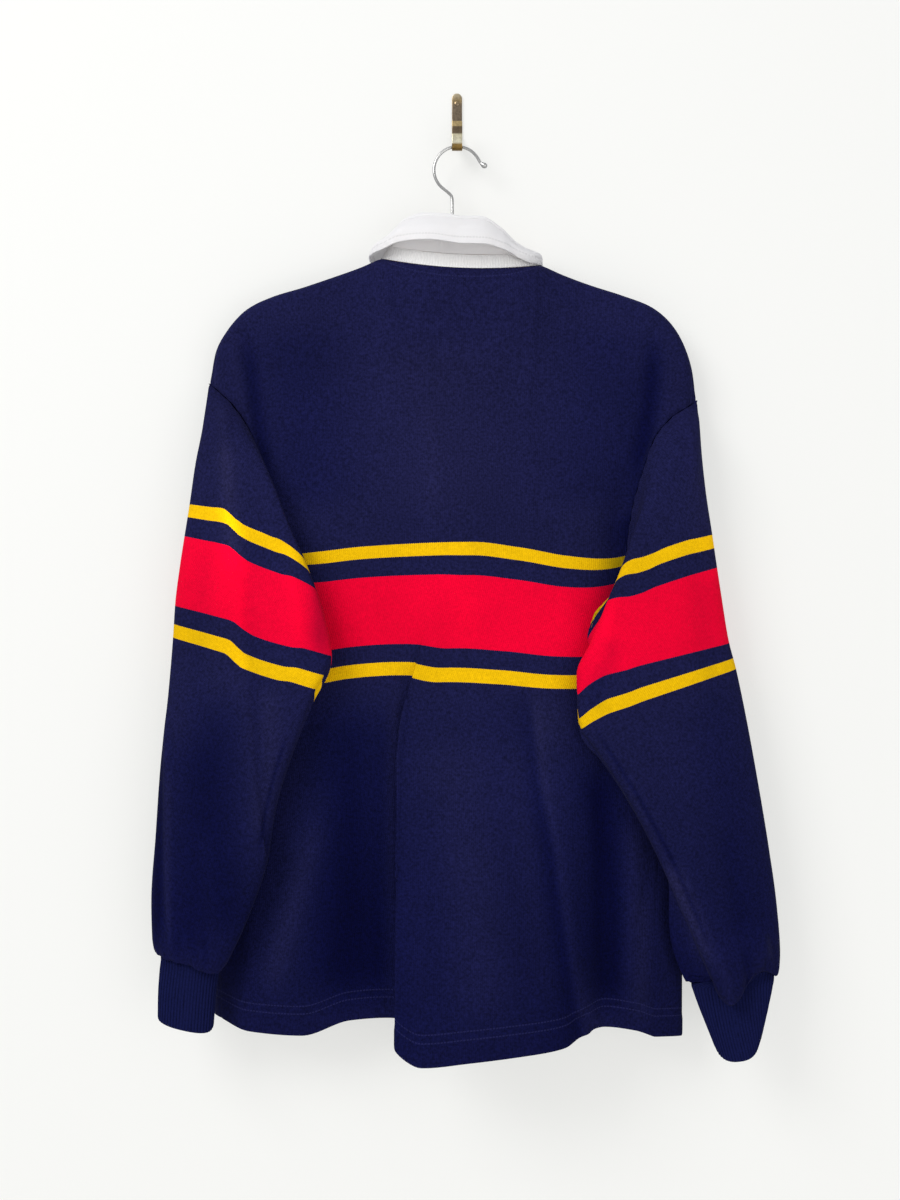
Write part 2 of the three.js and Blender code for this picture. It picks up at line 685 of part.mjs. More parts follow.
// The neckline as one line of points, from the placket round the back to the placket again
function neckLoop(back, front) {
  const [first, last] = NECK_COLUMNS;
  const [slitLeft, slitRight] = SLIT_COLUMNS;
  const pick = (points) => {
    const loop = [];
    for (let c = slitLeft; c > first; c--) loop.push(points.front[c]);
    loop.push(mixPoints(points.front[first], points.back[first], 0.5));
    for (let c = first + 1; c < last; c++) loop.push(points.back[c]);
    loop.push(mixPoints(points.front[last], points.back[last], 0.5));
    for (let c = last - 1; c >= slitRight; c--) loop.push(points.front[c]);
    const middle = mixPoints(points.front[slitLeft], points.front[slitRight], 0.5);
    loop.unshift(middle.clone().add(new THREE.Vector3(-COLLAR_PARTING / 2, 0, 0)));
    loop.push(middle.clone().add(new THREE.Vector3(COLLAR_PARTING / 2, 0, 0)));
    return loop;
  };
  const outer = pick({ back: back.points, front: front.points });
  const inner = pick({ back: innerPoints(back), front: innerPoints(front) });
  return { outer, inner };
}

// How the collar stands at each point of the neckline: "up" runs square to the neckline from its base
// to the fold, and "out" is square to both
function collarFrame(loop) {
  const lengths = [0];
  loop.forEach((point, i) => {
    if (i > 0) lengths.push(lengths[i - 1] + point.distanceTo(loop[i - 1]));
  });
  const total = lengths.at(-1);
  const curves = curvesOf(COLLAR);
  return loop.map((base, i) => {
    const share = lengths[i] / total;
    const round = 1 - Math.abs(2 * share - 1);
    const isLeft = share < 0.5;
    const before = loop[Math.max(i - 1, 0)];
    const after = loop[Math.min(i + 1, loop.length - 1)];
    const along = after.clone().sub(before).normalize();
    const inward = new THREE.Vector3(Math.sign(NECK_CENTRE_X - base.x), 0, 0);
    const up = inward.multiplyScalar(curves.lean(round));
    up.z = (isLeft ? curves.leftRise : curves.rightRise)(round);
    const length = up.length();
    up.addScaledVector(along, -up.dot(along)).normalize();
    const out = along.clone().cross(up).normalize();
    const fold = base.clone().addScaledVector(up, length);
    const fall = out.clone().multiplyScalar((isLeft ? curves.leftOut : curves.rightOut)(round))
      .addScaledVector(up, -(isLeft ? curves.leftDrop : curves.rightDrop)(round))
      .addScaledVector(along, (isLeft ? 1 : -1) * curves.spread(round));
    return { base, up, out, fold, fall };
  });
}

// The strip between the neckline and the collar
function neckband({ outer, inner }, frames) {
  const up = frames.map(({ base, fold, up: way }) => {
    const height = Math.min(NECKBAND_HEIGHT, NECKBAND_SHARE * fold.distanceTo(base));
    return way.clone().multiplyScalar(height);
  });
  const gaps = frames.map(({ up: way }) => way.clone().multiplyScalar(NECKBAND_GAP));
  const parts = outer.slice(1).map((point, i) =>
    2 * Math.max(1, Math.round(point.distanceTo(outer[i]) / NECKBAND_RIB_PITCH)));
  const lifted = (points, ways) => points.map((point, i) => point.clone().add(ways[i]));
  const row = (points, ways) => divided(lifted(points, ways), parts, false);
  const topOuter = row(outer, up);
  const cloth = sheet([topOuter, row(outer, gaps)], { thickness: RIB_CLOTH });
  const inners = [...row(inner, up), ...row(inner, gaps)];
  const raised = cloth.points.map((point, i) => {
    const rib = (i % topOuter.length) % 2 === 1 ? NECKBAND_RIB_RAISE : 0;
    return point.clone().addScaledVector(cloth.normals[i], rib);
  });
  const solid = wall(cloth, raised, inners);
  return { solid, topOuter: lifted(outer, up), topInner: lifted(inner, up) };
}

// The collar: a stand that rises from the neckband, turns over at the fold and falls outwards
function collar(frames, band) {
  const columns = frames.map(({ up, out, fold, fall }, i) => {
    const start = band.topOuter[i].clone().addScaledVector(up, NECKBAND_GAP);
    const turn = COLLAR_TURN.map(([outwards, upwards]) =>
      fold.clone().addScaledVector(out, outwards * COLLAR_FOLD).addScaledVector(up, upwards * COLLAR_FOLD));
    const fallTop = turn.at(-1);
    const leaf = FALL_SHARES.map((share) => {
      const point = fallTop.clone().addScaledVector(fall, share);
      return point.addScaledVector(out, FALL_BOW * Math.sin(Math.PI * share));
    });
    return [start, mixPoints(start, fold, 0.5), fold.clone(), ...turn, ...leaf];
  });
  const halved = columns[0].map((_, r) => divided(columns.map((column) => column[r]), [2], false));
  const cloth = sheet(halved, { turned: true });
  const base = divided(band.topInner.map((point, i) =>
    point.clone().addScaledVector(frames[i].up, NECKBAND_GAP)), [2], false);
  return wall(cloth, cloth.points, [...base, ...innerPoints(cloth).slice(base.length)]);
}

// The placket: strips that follow the front panel at the slit, so far outside or inside it
function placketStrip(outwards) {
  const shares = [PLACKET_TOP_SHARE, ...ROW_SHARES.slice(1, SLIT_END_ROW + 1), PLACKET_END_SHARE];
  const rows = shares.map((share) => PLACKET_COLUMNS.map((column) => {
    const point = panelPoint("front", column, share);
    point.y += outwards;
    return point;
  }));
  return clothSolid(sheet(rows, { turned: true }));
}

// A round button with a sunk middle, whose axis is Y
function button() {
  const profile = [[0, 0], [1, 0], [1, 0.75], [0.88, 1], [0.7, 0.75], [0, 0.75]];
  return new THREE.LatheGeometry(profile.map(([radius, height]) =>
    new THREE.Vector2(radius * BUTTON_RADIUS, height * BUTTON_THICKNESS)), BUTTON_SIDES);
}

// The hanger's bar, whose top runs just below the shoulder seams and peaks at the hook
function hangerBody() {
  const [first] = NECK_COLUMNS;
  const arm = (xName, zName, from) =>
    shoulder.slice(from, first + 1).map((row) => [row[xName], row[zName]]);
  const left = arm("leftX", "leftZ", 3);
  const right = arm("rightX", "rightZ", 4).reverse();
  const [peakX, peakZ] = HANGER_PEAK;
  const inside = ([x, z]) =>
    HANGER_PEAK_SHARES.map((share) => [mix(x, peakX, share), mix(z, peakZ, share ** 0.8)]);
  const line = [...left, ...inside(left.at(-1)), HANGER_PEAK, ...inside(right[0]).reverse(), ...right];
  const reach = Math.max(peakX - line[0][0], line.at(-1)[0] - peakX);
  const stations = line.map(([x, z], i) => {
    const before = line[Math.max(0, i - 1)];
    const after = line[Math.min(line.length - 1, i + 1)];
    const steep = Math.hypot(after[0] - before[0], after[1] - before[1]) / (after[0] - before[0]);
    const height = mix(...HANGER_HEIGHT, Math.abs(x - peakX) / reach);
    return { x, top: z - HANGER_CLEARANCE * steep, height, width: 1 };
  });
  const ended = (end, sign) => HANGER_END_STEPS.map(([out, down, share, width]) =>
    ({ x: end.x + sign * out, top: end.top + down, height: end.height * share, width }));
  stations.unshift(...ended(stations.shift(), -1).reverse());
  stations.push(...ended(stations.pop(), 1));
  return loft(stations.map(({ x, top, height, width }) => {
    const thick = HANGER_HALF * width;
    const half = HANGER_ROUNDING.map(([out, drop]) => [out * thick, top + Math.max(drop, -height / 3)]);
    half.push([thick, top - height + 2], [0.6 * thick, top - height]);
    const other = half.slice(1).reverse().map(([out, z]) => [-out, z]);
    return [...half, ...other].map(([out, z]) => new THREE.Vector3(x, RIDGE_Y + out, z));
  }));
}

// A round wire in the plane of the hanger through points given as X and Z
function wire(points, radiusAt) {
  const path = new THREE.CatmullRomCurve3(points.map(([x, z]) => new THREE.Vector3(x, RIDGE_Y, z)));
  const depth = new THREE.Vector3(0, 1, 0);
  return loft(Array.from({ length: WIRE_STEPS + 1 }, (_, step) => {
    const share = step / WIRE_STEPS;
    const side = path.getTangentAt(share).cross(depth);
    return Array.from({ length: WIRE_SIDES }, (_, k) => {
      const angle = 2 * Math.PI * k / WIRE_SIDES;
      const radius = radiusAt(share * path.getLength());
      return path.getPointAt(share)
        .addScaledVector(side, radius * Math.cos(angle))
        .addScaledVector(depth, radius * Math.sin(angle));
    });
  }));
}

// The wire hook: its ball tip, the round of the hook and the stem down to the bar
function hangerHook(bottom) {
  const [from, to] = HOOK_ARC;
  const arc = [];
  for (let angle = from; angle <= to; angle += (to - from) / 12) {
    const radians = THREE.MathUtils.degToRad(angle);
    arc.push([
      HOOK_CENTRE[0] + HOOK_RADIUS * Math.cos(radians),
      HOOK_CENTRE[1] + HOOK_RADIUS * Math.sin(radians),
    ]);
  }
  const tip = smoothCurve([0, 1.4, 3.2, 5, 7], TIP_RADII);
  return wire([...HOOK_TIP, ...arc, ...HOOK_STEM, [HOOK_STEM.at(-1)[0], bottom]], tip);
}

// The wall hook: a flat strip through points given as distance from the wall, height and width
function wallHook() {
  const middle = STRIP.map(([out, z]) => new THREE.Vector2(-out - STRIP_THICKNESS / 2, z));
  return loft(STRIP.map(([, , width], i) => {
    const before = middle[Math.max(0, i - 1)];
    const after = middle[Math.min(middle.length - 1, i + 1)];
    const along = after.clone().sub(before).normalize();
    const halfThick = STRIP_THICKNESS / 2;
    const corner = (sideways, thick) => new THREE.Vector3(
      sideways * width / 2,
      middle[i].x - along.y * thick * halfThick,
      middle[i].y + along.x * thick * halfThick,
    );
    return [corner(-1, -1), corner(1, -1), corner(1, 1), corner(-1, 1)];
  }));
}

function nail() {
  const profile = [[0, 0], [1, 0], [1, 0.5], [0.6, 1], [0, 1]];
  return new THREE.LatheGeometry(profile.map(([radius, height]) =>
    new THREE.Vector2(radius * NAIL_RADIUS, height * NAIL_HEIGHT)), 12);
}

const group = new THREE.Group();
const finish = (color, roughness, metalness = 0) =>
  new THREE.MeshStandardMaterial({ color, roughness, metalness });
const finishes = {
  jersey: finish("#1d2040", 0.9),
  rib: finish("#1a1f40", 0.95),
  twill: finish("#f1eff0", 0.8),
  rubber: finish("#ece9e2", 0.6),
  wood: finish("#c39a6b", 0.5),
  steel: finish("#b9bcc0", 0.3, 1),
  brass: finish("#b08d4f", 0.35, 1),
};
function add(name, geometry, material) {
  const mesh = new THREE.Mesh(geometry, material);
  mesh.name = name;
  group.add(mesh);
  return mesh;
}

const back = panel("back");
const front = panel("front");
const sleeves = { left: sleeve("left"), right: sleeve("right") };
sew([back, front, sleeves.left, sleeves.right]);
add("back_panel", clothSolid(back), finishes.jersey);
add("front_panel", clothSolid(front), finishes.jersey);
for (const side of ["left", "right"]) {
  add(`sleeve_${side}`, clothSolid(sleeves[side]), finishes.jersey);
  add(`cuff_${side}`, cuff(side, sleeves[side]), finishes.rib);
}
const neck = neckLoop(back, front);
const frames = collarFrame(neck.outer);
const band = neckband(neck, frames);
add("neckband", band.solid, finishes.rib);
add("collar", collar(frames, band), finishes.twill);
const overPlacket = CLOTH + SEAM_GAP;
add("placket_over", placketStrip(overPlacket), finishes.twill);
add("placket_under", placketStrip(-overPlacket), finishes.twill);
BUTTON_SHARES.forEach((share, i) => {
  const place = panelPoint("front", (SLIT_COLUMNS[0] + SLIT_COLUMNS[1]) / 2, share);
  place.y += overPlacket + SEAM_GAP;
  add(`button_${i + 1}`, button(), finishes.rubber).position.copy(place);
});

add("hanger_body", hangerBody(), finishes.wood);
add("hanger_hook", hangerHook(HANGER_PEAK[1] - HANGER_CLEARANCE + SEAM_GAP), finishes.steel);
add("wall_hook", wallHook(), finishes.brass);
const nailMesh = add("wall_hook_nail", nail(), finishes.brass);
nailMesh.rotation.z = Math.PI;
nailMesh.position.set(0, -STRIP_THICKNESS - SEAM_GAP, 0);

export default group;
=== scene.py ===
"""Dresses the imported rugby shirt: cloth with its folds, knit stripes, collar, placket, hooks and stage.

Run as a script. Every point is in metres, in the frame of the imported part: X to the right as the back
is seen, Y towards the wall, Z up, with the origin where the wall hook is nailed. The tables are in mm.
"""

import math
from functools import partial

import bmesh
import bpy
import numpy as np
from bpy.props import FloatProperty, FloatVectorProperty, PointerProperty
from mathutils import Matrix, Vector


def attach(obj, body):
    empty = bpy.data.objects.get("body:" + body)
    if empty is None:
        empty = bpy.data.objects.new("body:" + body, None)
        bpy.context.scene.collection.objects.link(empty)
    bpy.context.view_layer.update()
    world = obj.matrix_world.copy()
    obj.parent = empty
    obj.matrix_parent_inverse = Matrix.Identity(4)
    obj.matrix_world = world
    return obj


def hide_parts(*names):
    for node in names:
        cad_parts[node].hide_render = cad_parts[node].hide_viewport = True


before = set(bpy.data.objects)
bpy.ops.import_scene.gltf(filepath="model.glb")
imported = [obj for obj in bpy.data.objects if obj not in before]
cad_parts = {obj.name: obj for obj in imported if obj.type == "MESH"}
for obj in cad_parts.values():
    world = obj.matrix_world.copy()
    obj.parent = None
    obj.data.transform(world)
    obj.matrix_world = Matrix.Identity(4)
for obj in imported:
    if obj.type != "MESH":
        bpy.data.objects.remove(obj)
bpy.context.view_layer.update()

bl_info = {
    "name": "Rugby shirt",
    "version": (1, 0, 0),
    "blender": (4, 5, 0),
    "location": "3D View > Sidebar > Shirt",
    "description": "Builds a striped rugby shirt on its hanger round a packed frame",
    "category": "Add Mesh",
}

MM = 0.001

# Torso
COLUMNS = 26
NECK_COLUMNS = (8, 18)
SLIT_COLUMNS = (12, 14)
SLIT_SHARE = 0.29
ARMPIT_SHARE = 0.475
ROW_SHARES = np.array([0, 0.008, 0.025, 0.06, 0.11, 0.17, 0.23, 0.29, 0.357, 0.41, 0.445, 0.475])
BACK_NECK_SHARES = np.array([0, 0.04, 0.16, 0.28, 0.39, 0.5, 0.61, 0.72, 0.84, 0.96, 1])
CENTRE_X = -4
CHEST_SHARE = 0.357
CHEST_EDGES = (-217, 207)
BODY_LENGTH = 750
STRIPED_LENGTH = 479
RIDGE_Y = -24
RIDGE_ROUNDING = 16
RIGHT_TIP_DROP = 16.5
NECK_BACK_BOW = 20
NECK_BACK_DROP = 9
# How deep the back and the front lie: at the chest, and below the shoulders towards the arm and the neck
BACK_CHEST_Y = -44
BACK_CHEST_BOW = 3
BACK_SHOULDER_Y = (-36, -45)
FRONT_CHEST_Y = -14
FRONT_SHOULDER_Y = -15.5
# The share of the way from the chest to the hem over which the hem's folds come in sideways
FOLD_SPAN = (0, 0.45)
# The share of a panel's width over which its edge is drawn to the seam, sideways and in depth
EDGE_PULL = (0.3, 0.1)


def table(columns, rows):
    """Rows of numbers under named columns, as arrays by column name."""
    return dict(zip(columns.split(), np.array(rows, float).T))


# Points of the shoulder line from the arm to the neck
SHOULDER = table("leftX leftZ rightX rightZ", [
    (-241, -280, 233, -296.5), (-235, -249, 229, -268), (-223, -227, 221, -243),
    (-203, -206, 208, -221), (-178, -194, 188, -204), (-150, -185.5, 160, -193),
    (-122, -176, 129, -183), (-95, -166.5, 102, -173), (-73, -158, 80.6, -164.4),
])
# The front neckline between the two neck points
FRONT_NECK = table("x y z", [
    (-73, -24, -158), (-72, -16.8, -166), (-61, -15.4, -203), (-38, -15.2, -227),
    (-12, -15, -235), (4, -15, -236), (20, -15, -235), (45, -15.2, -228),
    (69, -15.4, -206), (81, -16, -171), (80.6, -24, -164.4),
])
# The armhole seam by the share of the way down; reach is measured from the centre line
ARMHOLE = table("share reach z backY frontY frontReach", [
    (0, 237, -280, -24, -24, 237), (0.03, 226, -289, -33, -17, 228),
    (0.06, 212, -302, -38, -15.5, 217), (0.104, 195, -328, -42, -15, 205),
    (0.19, 182, -365, -44, -15, 190), (0.27, 171, -404, -46, -15, 178),
    (0.357, 166, -446, -47, -15, 172), (0.42, 173, -480, -46, -15, 179),
    (0.455, 194, -508, -41, -17, 198), (0.475, 218, -525, -29, -29, 218),
])
SIDE_SEAMS = table("share leftX leftY leftZ rightX rightY rightZ", [
    (0.475, -222, -29, -525, 214, -29, -525), (0.6, -230, -31, -615, 208, -36, -618),
    (0.72, -234, -32, -701, 197, -47, -706), (0.84, -234, -34, -783, 189, -58, -794),
    (1, -228, -37, -893, 187, -64, -904),
])
BACK_HEM = table("across x y z", [
    (0, -228, -37, -893), (0.071, -198, -56, -901), (0.168, -148, -60, -904),
    (0.258, -102, -58, -890), (0.331, -64, -60, -887), (0.38, -42, -66, -890),
    (0.428, -40, -86, -896), (0.486, -58, -109, -903), (0.534, -34, -117, -918),
    (0.622, 11, -120, -913), (0.728, 66, -116, -907), (0.798, 100, -106, -903),
    (0.848, 119, -88, -896), (0.9, 138, -72, -892), (0.958, 167, -70, -896),
    (1, 187, -64, -904),
])
FRONT_HEM = table("across x y z", [
    (0, -228, -37, -893), (0.035, -236, -23, -892), (0.1, -208, -12, -893),
    (0.2, -160, -11, -896), (0.3, -112, -22, -895), (0.4, -62, -11, -899),
    (0.5, -8, -13, -898), (0.6, 44, -24, -897), (0.7, 92, -11, -900),
    (0.8, 144, -12, -899), (0.88, 192, -15, -904), (0.92, 211, -24, -909),
    (0.96, 216, -43, -908), (1, 187, -64, -904),
])
CHEST_ROW = table("across z", [
    (0, -446), (0.3, -437), (0.55, -434), (0.65, -439), (0.76, -446), (0.87, -452), (1, -456),
])

# Sleeves: "out" is the outer edge and "in" the inner one of the flattened tube
SLEEVE_NAMES = "share outX outY outZ inX inY inZ near far"
SLEEVES = {
    "left": table(SLEEVE_NAMES, [
        (0, -241, -24, -280, -196, -44, -336, 2, 8), (0.075, -245, -38, -321, -177, -63, -374, 9, 8),
        (0.145, -252, -41, -360, -161, -70, -413, 12, 7), (0.215, -257, -43, -398, -145, -71, -448, 14, 7),
        (0.325, -266, -45, -459, -124, -74, -509, 16, 7), (0.385, -270, -46, -492, -118, -75, -542, 17, 7),
        (0.447, -272, -47, -526, -134, -76, -577, 17, 8), (0.54, -276, -48, -576, -151, -76, -622, 18, 9),
        (0.68, -284, -49, -653, -171, -75, -688, 19, 10), (0.79, -288, -50, -714, -178, -74, -733, 19, 11),
        (0.9, -292, -51, -777, -196, -72, -787, 18, 12), (0.96, -291, -52, -812, -212, -70, -822, 17, 13),
        (0.985, -287, -53, -826, -222, -69, -838, 14, 12), (1, -281, -54, -826, -226, -68, -832, 9, 9),
    ]),
    "right": table(SLEEVE_NAMES, [
        (0, 233, -24, -296.5, 180, -44, -336, 2, 8), (0.075, 235, -38, -340, 174, -63, -381, 9, 8),
        (0.145, 239, -41, -384, 164, -70, -419, 12, 7), (0.215, 245, -43, -427, 152, -71, -459, 14, 7),
        (0.325, 254, -45, -490, 126, -74, -528, 16, 7), (0.385, 260, -46, -528, 112, -75, -561, 17, 7),
        (0.447, 267, -47, -556, 114, -76, -604, 17, 8), (0.54, 276, -48, -600, 132, -76, -633, 18, 9),
        (0.68, 288, -49, -667, 161, -75, -679, 19, 10), (0.79, 298, -50, -729, 191, -74, -735, 19, 11),
        (0.9, 305, -51, -782, 215, -72, -790, 18, 12), (0.96, 308, -52, -825, 233, -70, -833, 17, 13),
        (0.985, 306, -53, -840, 243, -69, -852, 14, 12), (1, 300, -54, -840, 246, -68, -846, 9, 9),
    ]),
}
SLEEVE_TURN = table("share seenRow underarm droop", [
    (0, 4, 0.775, 0), (0.05, 4.2, 0.91, 0), (0.2, 5, 0.87, 10), (0.3, 6, 0.8, 30),
    (0.45, 7.5, 0.66, 30), (0.6, 9, 0.6, 12), (1, 9.6, 0.575, 0),
])
# Where a sleeve's under layer shows beside the upper one: shares where that starts, is full and begins
# to end, how far it reaches, and how far its stripes ride up
UNDER_LAYER = {"left": (), "right": ((0.222, 0.258, 0.282, 14, -21), (0.8, 0.97, 1.1, 27, 0))}
# How much painted shade darkens a sleeve's under layer where it shows
UNDER_SHADE = 0.35
ARMPIT_ROW = 11
SLEEVE_SIDES = 22
SLEEVE_COLUMNS = 8 * SLEEVE_SIDES
ARMHOLE_REACH = 0.34
# The share of the sleeve where its stripes start, and its length along them
SLEEVE_STRIPE_SHARE = 0.2165
SLEEVE_STRIPED_LENGTH = 572.7
# Where the sleeves' ends hang over the cuffs: X, half width, drop and how far out
POUCHES = {
    "left": ((-236, 16, 7, 5), (-268, 12, 4, 3)),
    "right": ((257, 16, 27, 13), (286, 9, -9, 7), (304, 7, 15, 1)),
}
POUCH_SHARE = 0.92

# Cuffs
CUFF_COLUMNS = 16 * SLEEVE_SIDES
CUFF_ROWS = 22
RIB_CLOTH = 1.5
CUFF_NAMES = "share outX outZ inX inZ midY half nearDrop farDrop"
CUFFS = {
    "left": table(CUFF_NAMES, [
        (0.08, -281, -831, -226, -837, -61, 10, 0, 0), (0.5, -282, -858, -229, -864, -66, 12, 2, 1),
        (1, -281, -882, -231, -893, -72, 13, 5, 3),
    ]),
    "right": table(CUFF_NAMES, [
        (0.08, 301, -846, 220, -850, -61, 10, 2, 0), (0.5, 294, -868, 229, -873, -66, 12, 14, 6),
        (1, 286, -890, 241, -895, -72, 13, 29, 9),
    ]),
}

# The collar round the neck from the front end (0) to the middle of the back (1)
COLLAR = table("round leftRise rightRise lean leftOut rightOut leftDrop rightDrop spread", [
    (0, 28, 28, 0, 2, 2, 66, 66, 26), (0.15, 28, 28, 2, 3, 3, 58, 58, 20),
    (0.4, 24, 22, 5, 6, 4, 34, 33, 8), (0.58, 11, 6, 7, 4, -5, 20, 10, 2),
    (0.65, 20, 7, 8, 7, -4, 19, 10, 0), (0.72, 36, 16, 8, 11, 0, 23, 12, 0),
    (0.8, 43, 33, 7, 14, 9, 26, 20, 0), (0.9, 45, 44, 4, 15, 14, 26, 26, 0),
    (1, 44, 44, 3, 15, 15, 26, 26, 0),
])
# Dents of the collar: share round it, share of the way from the stand's foot to the leaf's edge,
# height, and their two half sizes
COLLAR_DENTS = (
    (0.455, 0.16, 1.6, 0.006, 0.10), (0.463, 0.14, -1.4, 0.006, 0.10), (0.40, 0.22, -1.0, 0.012, 0.10),
    (0.56, 0.15, 1.0, 0.008, 0.08), (0.62, 0.75, 1.0, 0.015, 0.12), (0.36, 0.70, -1.1, 0.012, 0.12),
    (0.47, 0.80, 0.8, 0.03, 0.14), (0.52, 0.62, -0.7, 0.02, 0.12), (0.12, 0.75, -1.2, 0.03, 0.2),
    (0.88, 0.70, -1.2, 0.03, 0.2), (0.24, 0.5, 1.2, 0.02, 0.2), (0.76, 0.5, 1.2, 0.02, 0.2),
)
NECK_CENTRE_X = 4
COLLAR_COLUMNS = 360
COLLAR_PARTING = 5
COLLAR_FOLD = 6
TWILL_CLOTH = 1.6
NECKBAND_HEIGHT = 12
NECKBAND_SHARE = 0.45
NECKBAND_GAP = -0.6
NECKBAND_COLUMNS = 1440
NECKBAND_RIB = 2.8

# Placket and buttons
PLACKET_COLUMNS = (11.9, 14.1)
PLACKET_SHARES = (0.004, 0.298)
PLACKET_OFF = 1.95
BUTTON_SHARES = (0.035, 0.14, 0.245)
BUTTON_RADIUS = 6.5
BUTTON_THICKNESS = 3
BUTTON_PROFILE = ((0, 0.55, 0.68, 0.8, 0.93, 1), (0.72, 0.72, 0.78, 1, 0.98, 0.62))
BUTTON_HOLE = 1.3
THREAD_RADIUS = 0.32

# Hook of the hanger, as X and Z in its plane, and the strip of the wall hook as distance out, Z, width
HOOK_CENTRE = (0.4, -71.7)
HOOK_RADIUS = 22.8
HOOK_ARC = (44, 228)
HOOK_TIP = ((29.1, -68.8), (27.6, -67.9), (25.8, -66.9), (22.6, -64.3), (19.8, -59.6))
HOOK_STEM = (
    (-11.4, -91.4), (-7.4, -94.8), (-5.3, -97.4), (-4.7, -101), (-4.6, -107), (-4.6, -124), (-4.6, -144),
)
TIP_RADII = ((0, 0.9), (1.4, 2.4), (3.2, 2.9), (5, 2.3), (7, 1.5))
STRIP = table("out z width", [
    (0, 9.9, 5), (0, 7.5, 8.5), (0, 4.5, 10), (0, -31, 10), (1.8, -36, 10), (7.3, -41.5, 10),
    (17.3, -49.6, 10), (21.3, -51.9, 10), (24.8, -52.4, 10), (27.9, -50.8, 10), (29.3, -47, 10),
    (29.3, -26, 10),
])
STRIP_THICKNESS = 1.5
NAIL_RADIUS = 2.6
NAIL_HEIGHT = 1.1
NAIL_GAP = 0.2

# Knit and twill, in mm; a course's height is a share of the wale's
COURSE_SHARE = 0.72
RIB_COURSE = 1.5
TWILL_PITCH = 1.3
TAPE_WEFT = 1.1
# How far the rows of stitches lie from the hem, from the neck seam and from the twill's edges
HEM_STITCH_ROWS = (21, 28.5)
NECK_STITCH_ROWS = (9.0,)
TWILL_STITCH_ROWS = (6.0,)
# The stripes down the cloth: where each colour starts, in mm from a place above the first one
STRIPE_ONSET = 20
STRIPE_BANDS_END = 180
STRIPE_BANDS = (
    (0, "navy"), (20, "yellow"), (33, "navy"), (51.5, "red"), (120.5, "navy"), (139, "yellow"),
    (152, "navy"),
)
# What both knits share: hardly any gloss, and a faint bluish fuzz
KNIT_GLOSS = {
    "Specular IOR Level": 0.06,
    "Sheen Weight": 0.02,
    "Sheen Roughness": 0.4,
    "Sheen Tint": (0.6, 0.6, 0.75, 1),
}
# Painted reflections on the bent brass: bands of dark brown and pale from its lip up, by height in mm
BRASS_PAINTED_REFLECTIONS = (
    (-53, "#8A6F3E"), (-48.5, "#8A6F3E"), (-46.5, "#E6DFC4"), (-39, "#E0D6B4"), (-37.5, "#7A6A55"),
    (-31.5, "#74644F"), (-30.5, "#C4AC7C"), (-26, "#C0A878"), (-25, "#7C6D5B"), (-2, "#8A7A66"),
    (3, "#A8916A"), (9, "#CDBE9E"),
)

# Stage: the wall's distance behind the shirt, its reach to the sides, its foot and its top
WALL_GAP = 0.6
WALL_REACH = 2200
FLOOR_Z = -1900
WALL_TOP = 1200
FLOOR_DEPTH = -2400
STAGE_GLOW = 0.6
SKY_COLOUR = (0.94, 0.96, 1.0, 1)
SKY_STRENGTH = 0.58
# Lamps: name, place, size and power
LAMPS = (
    ("window", (-1.7, -2.0, 1.1), 1.5, 51),
    ("fill", (1.3, -2.6, -1.1), 2.4, 22),
    ("behind", (0.4, 2.2, 0.8), 2.0, 22),
)
LAMPS_FACE = (0, -0.05, -0.5)
CAMERA_PLACE = (-6.9 * MM, -1.56, -0.49)
CAMERA_SENSOR = 36
CAMERA_LENS = 18 * 1500 / 570


class ShirtSizes(bpy.types.PropertyGroup):
    """Sizes of the shirt's cloth and folds."""

    cloth: FloatProperty(
        name="Cloth", description="Thickness of the jersey", default=1.6 * MM,
        min=0.5 * MM, max=3 * MM, unit="LENGTH", precision=4)
    rib_raise: FloatProperty(
        name="Rib height", description="How far a cuff's ribs stand up", default=0.7 * MM,
        min=0, max=2 * MM, unit="LENGTH", precision=4)
    rib_pitch: FloatProperty(
        name="Rib pitch", description="Distance from rib to rib on a cuff", default=2.9 * MM,
        min=1 * MM, max=6 * MM, unit="LENGTH", precision=4)
    creases: FloatProperty(
        name="Creases", description="How deep the hand-placed creases are", default=1.0,
        min=0, max=2, subtype="FACTOR")
    wale: FloatProperty(
        name="Wale pitch", description="Distance from wale to wale of the knit, drawn a little coarse",
        default=1.9 * MM, min=0.5 * MM, max=5 * MM, unit="LENGTH", precision=4)
    stitch: FloatProperty(
        name="Stitch", description="Length of a stitch of the sewing", default=3.0 * MM,
        min=1 * MM, max=8 * MM, unit="LENGTH", precision=4)


def to_linear(text):
    """An sRGB colour written as six hex digits, as linear red, green and blue."""
    values = np.array([int(text[i:i + 2], 16) for i in (1, 3, 5)]) / 255
    return tuple(np.where(values <= 0.04045, values / 12.92, ((values + 0.055) / 1.055) ** 2.4))


def colour(name, text, description):
    """A colour that a user can change."""
    return FloatVectorProperty(name=name, description=description, default=to_linear(text),
                               size=3, min=0, max=1, subtype="COLOR")


class ShirtColours(bpy.types.PropertyGroup):
    """Colours of the shirt and its hooks."""

    navy: colour("Navy", "#17183D", "Ground colour of the jersey")
    red: colour("Red", "#E6002E", "The wide stripe")
    yellow: colour("Yellow", "#EAB805", "The two narrow stripes")
    rib: colour("Rib", "#0D1136", "The ribbed cuffs")
    white: colour("White", "#ECEAEB", "Collar and placket")
    tape: colour("Tape", "#EEECEA", "The neckband's ribbed tape")
    button: colour("Buttons", "#ECE8DF", "The rubber buttons")
    wood: colour("Wood", "#C59A68", "The hanger's bar")
    steel: colour("Steel", "#C4C3C0", "The hanger's wire hook")
    brass: colour("Brass", "#BCA06A", "The wall hook")


def mix(a, b, share):
    """The value that lies the given share of the way from a to b."""
    return a + (b - a) * share


def smooth(start, end, value):
    """Nought before start, one after end, and an S-curve between them. The end may be the lower."""
    share = np.clip((value - start) / (end - start), 0, 1)
    return share * share * (3 - 2 * share)


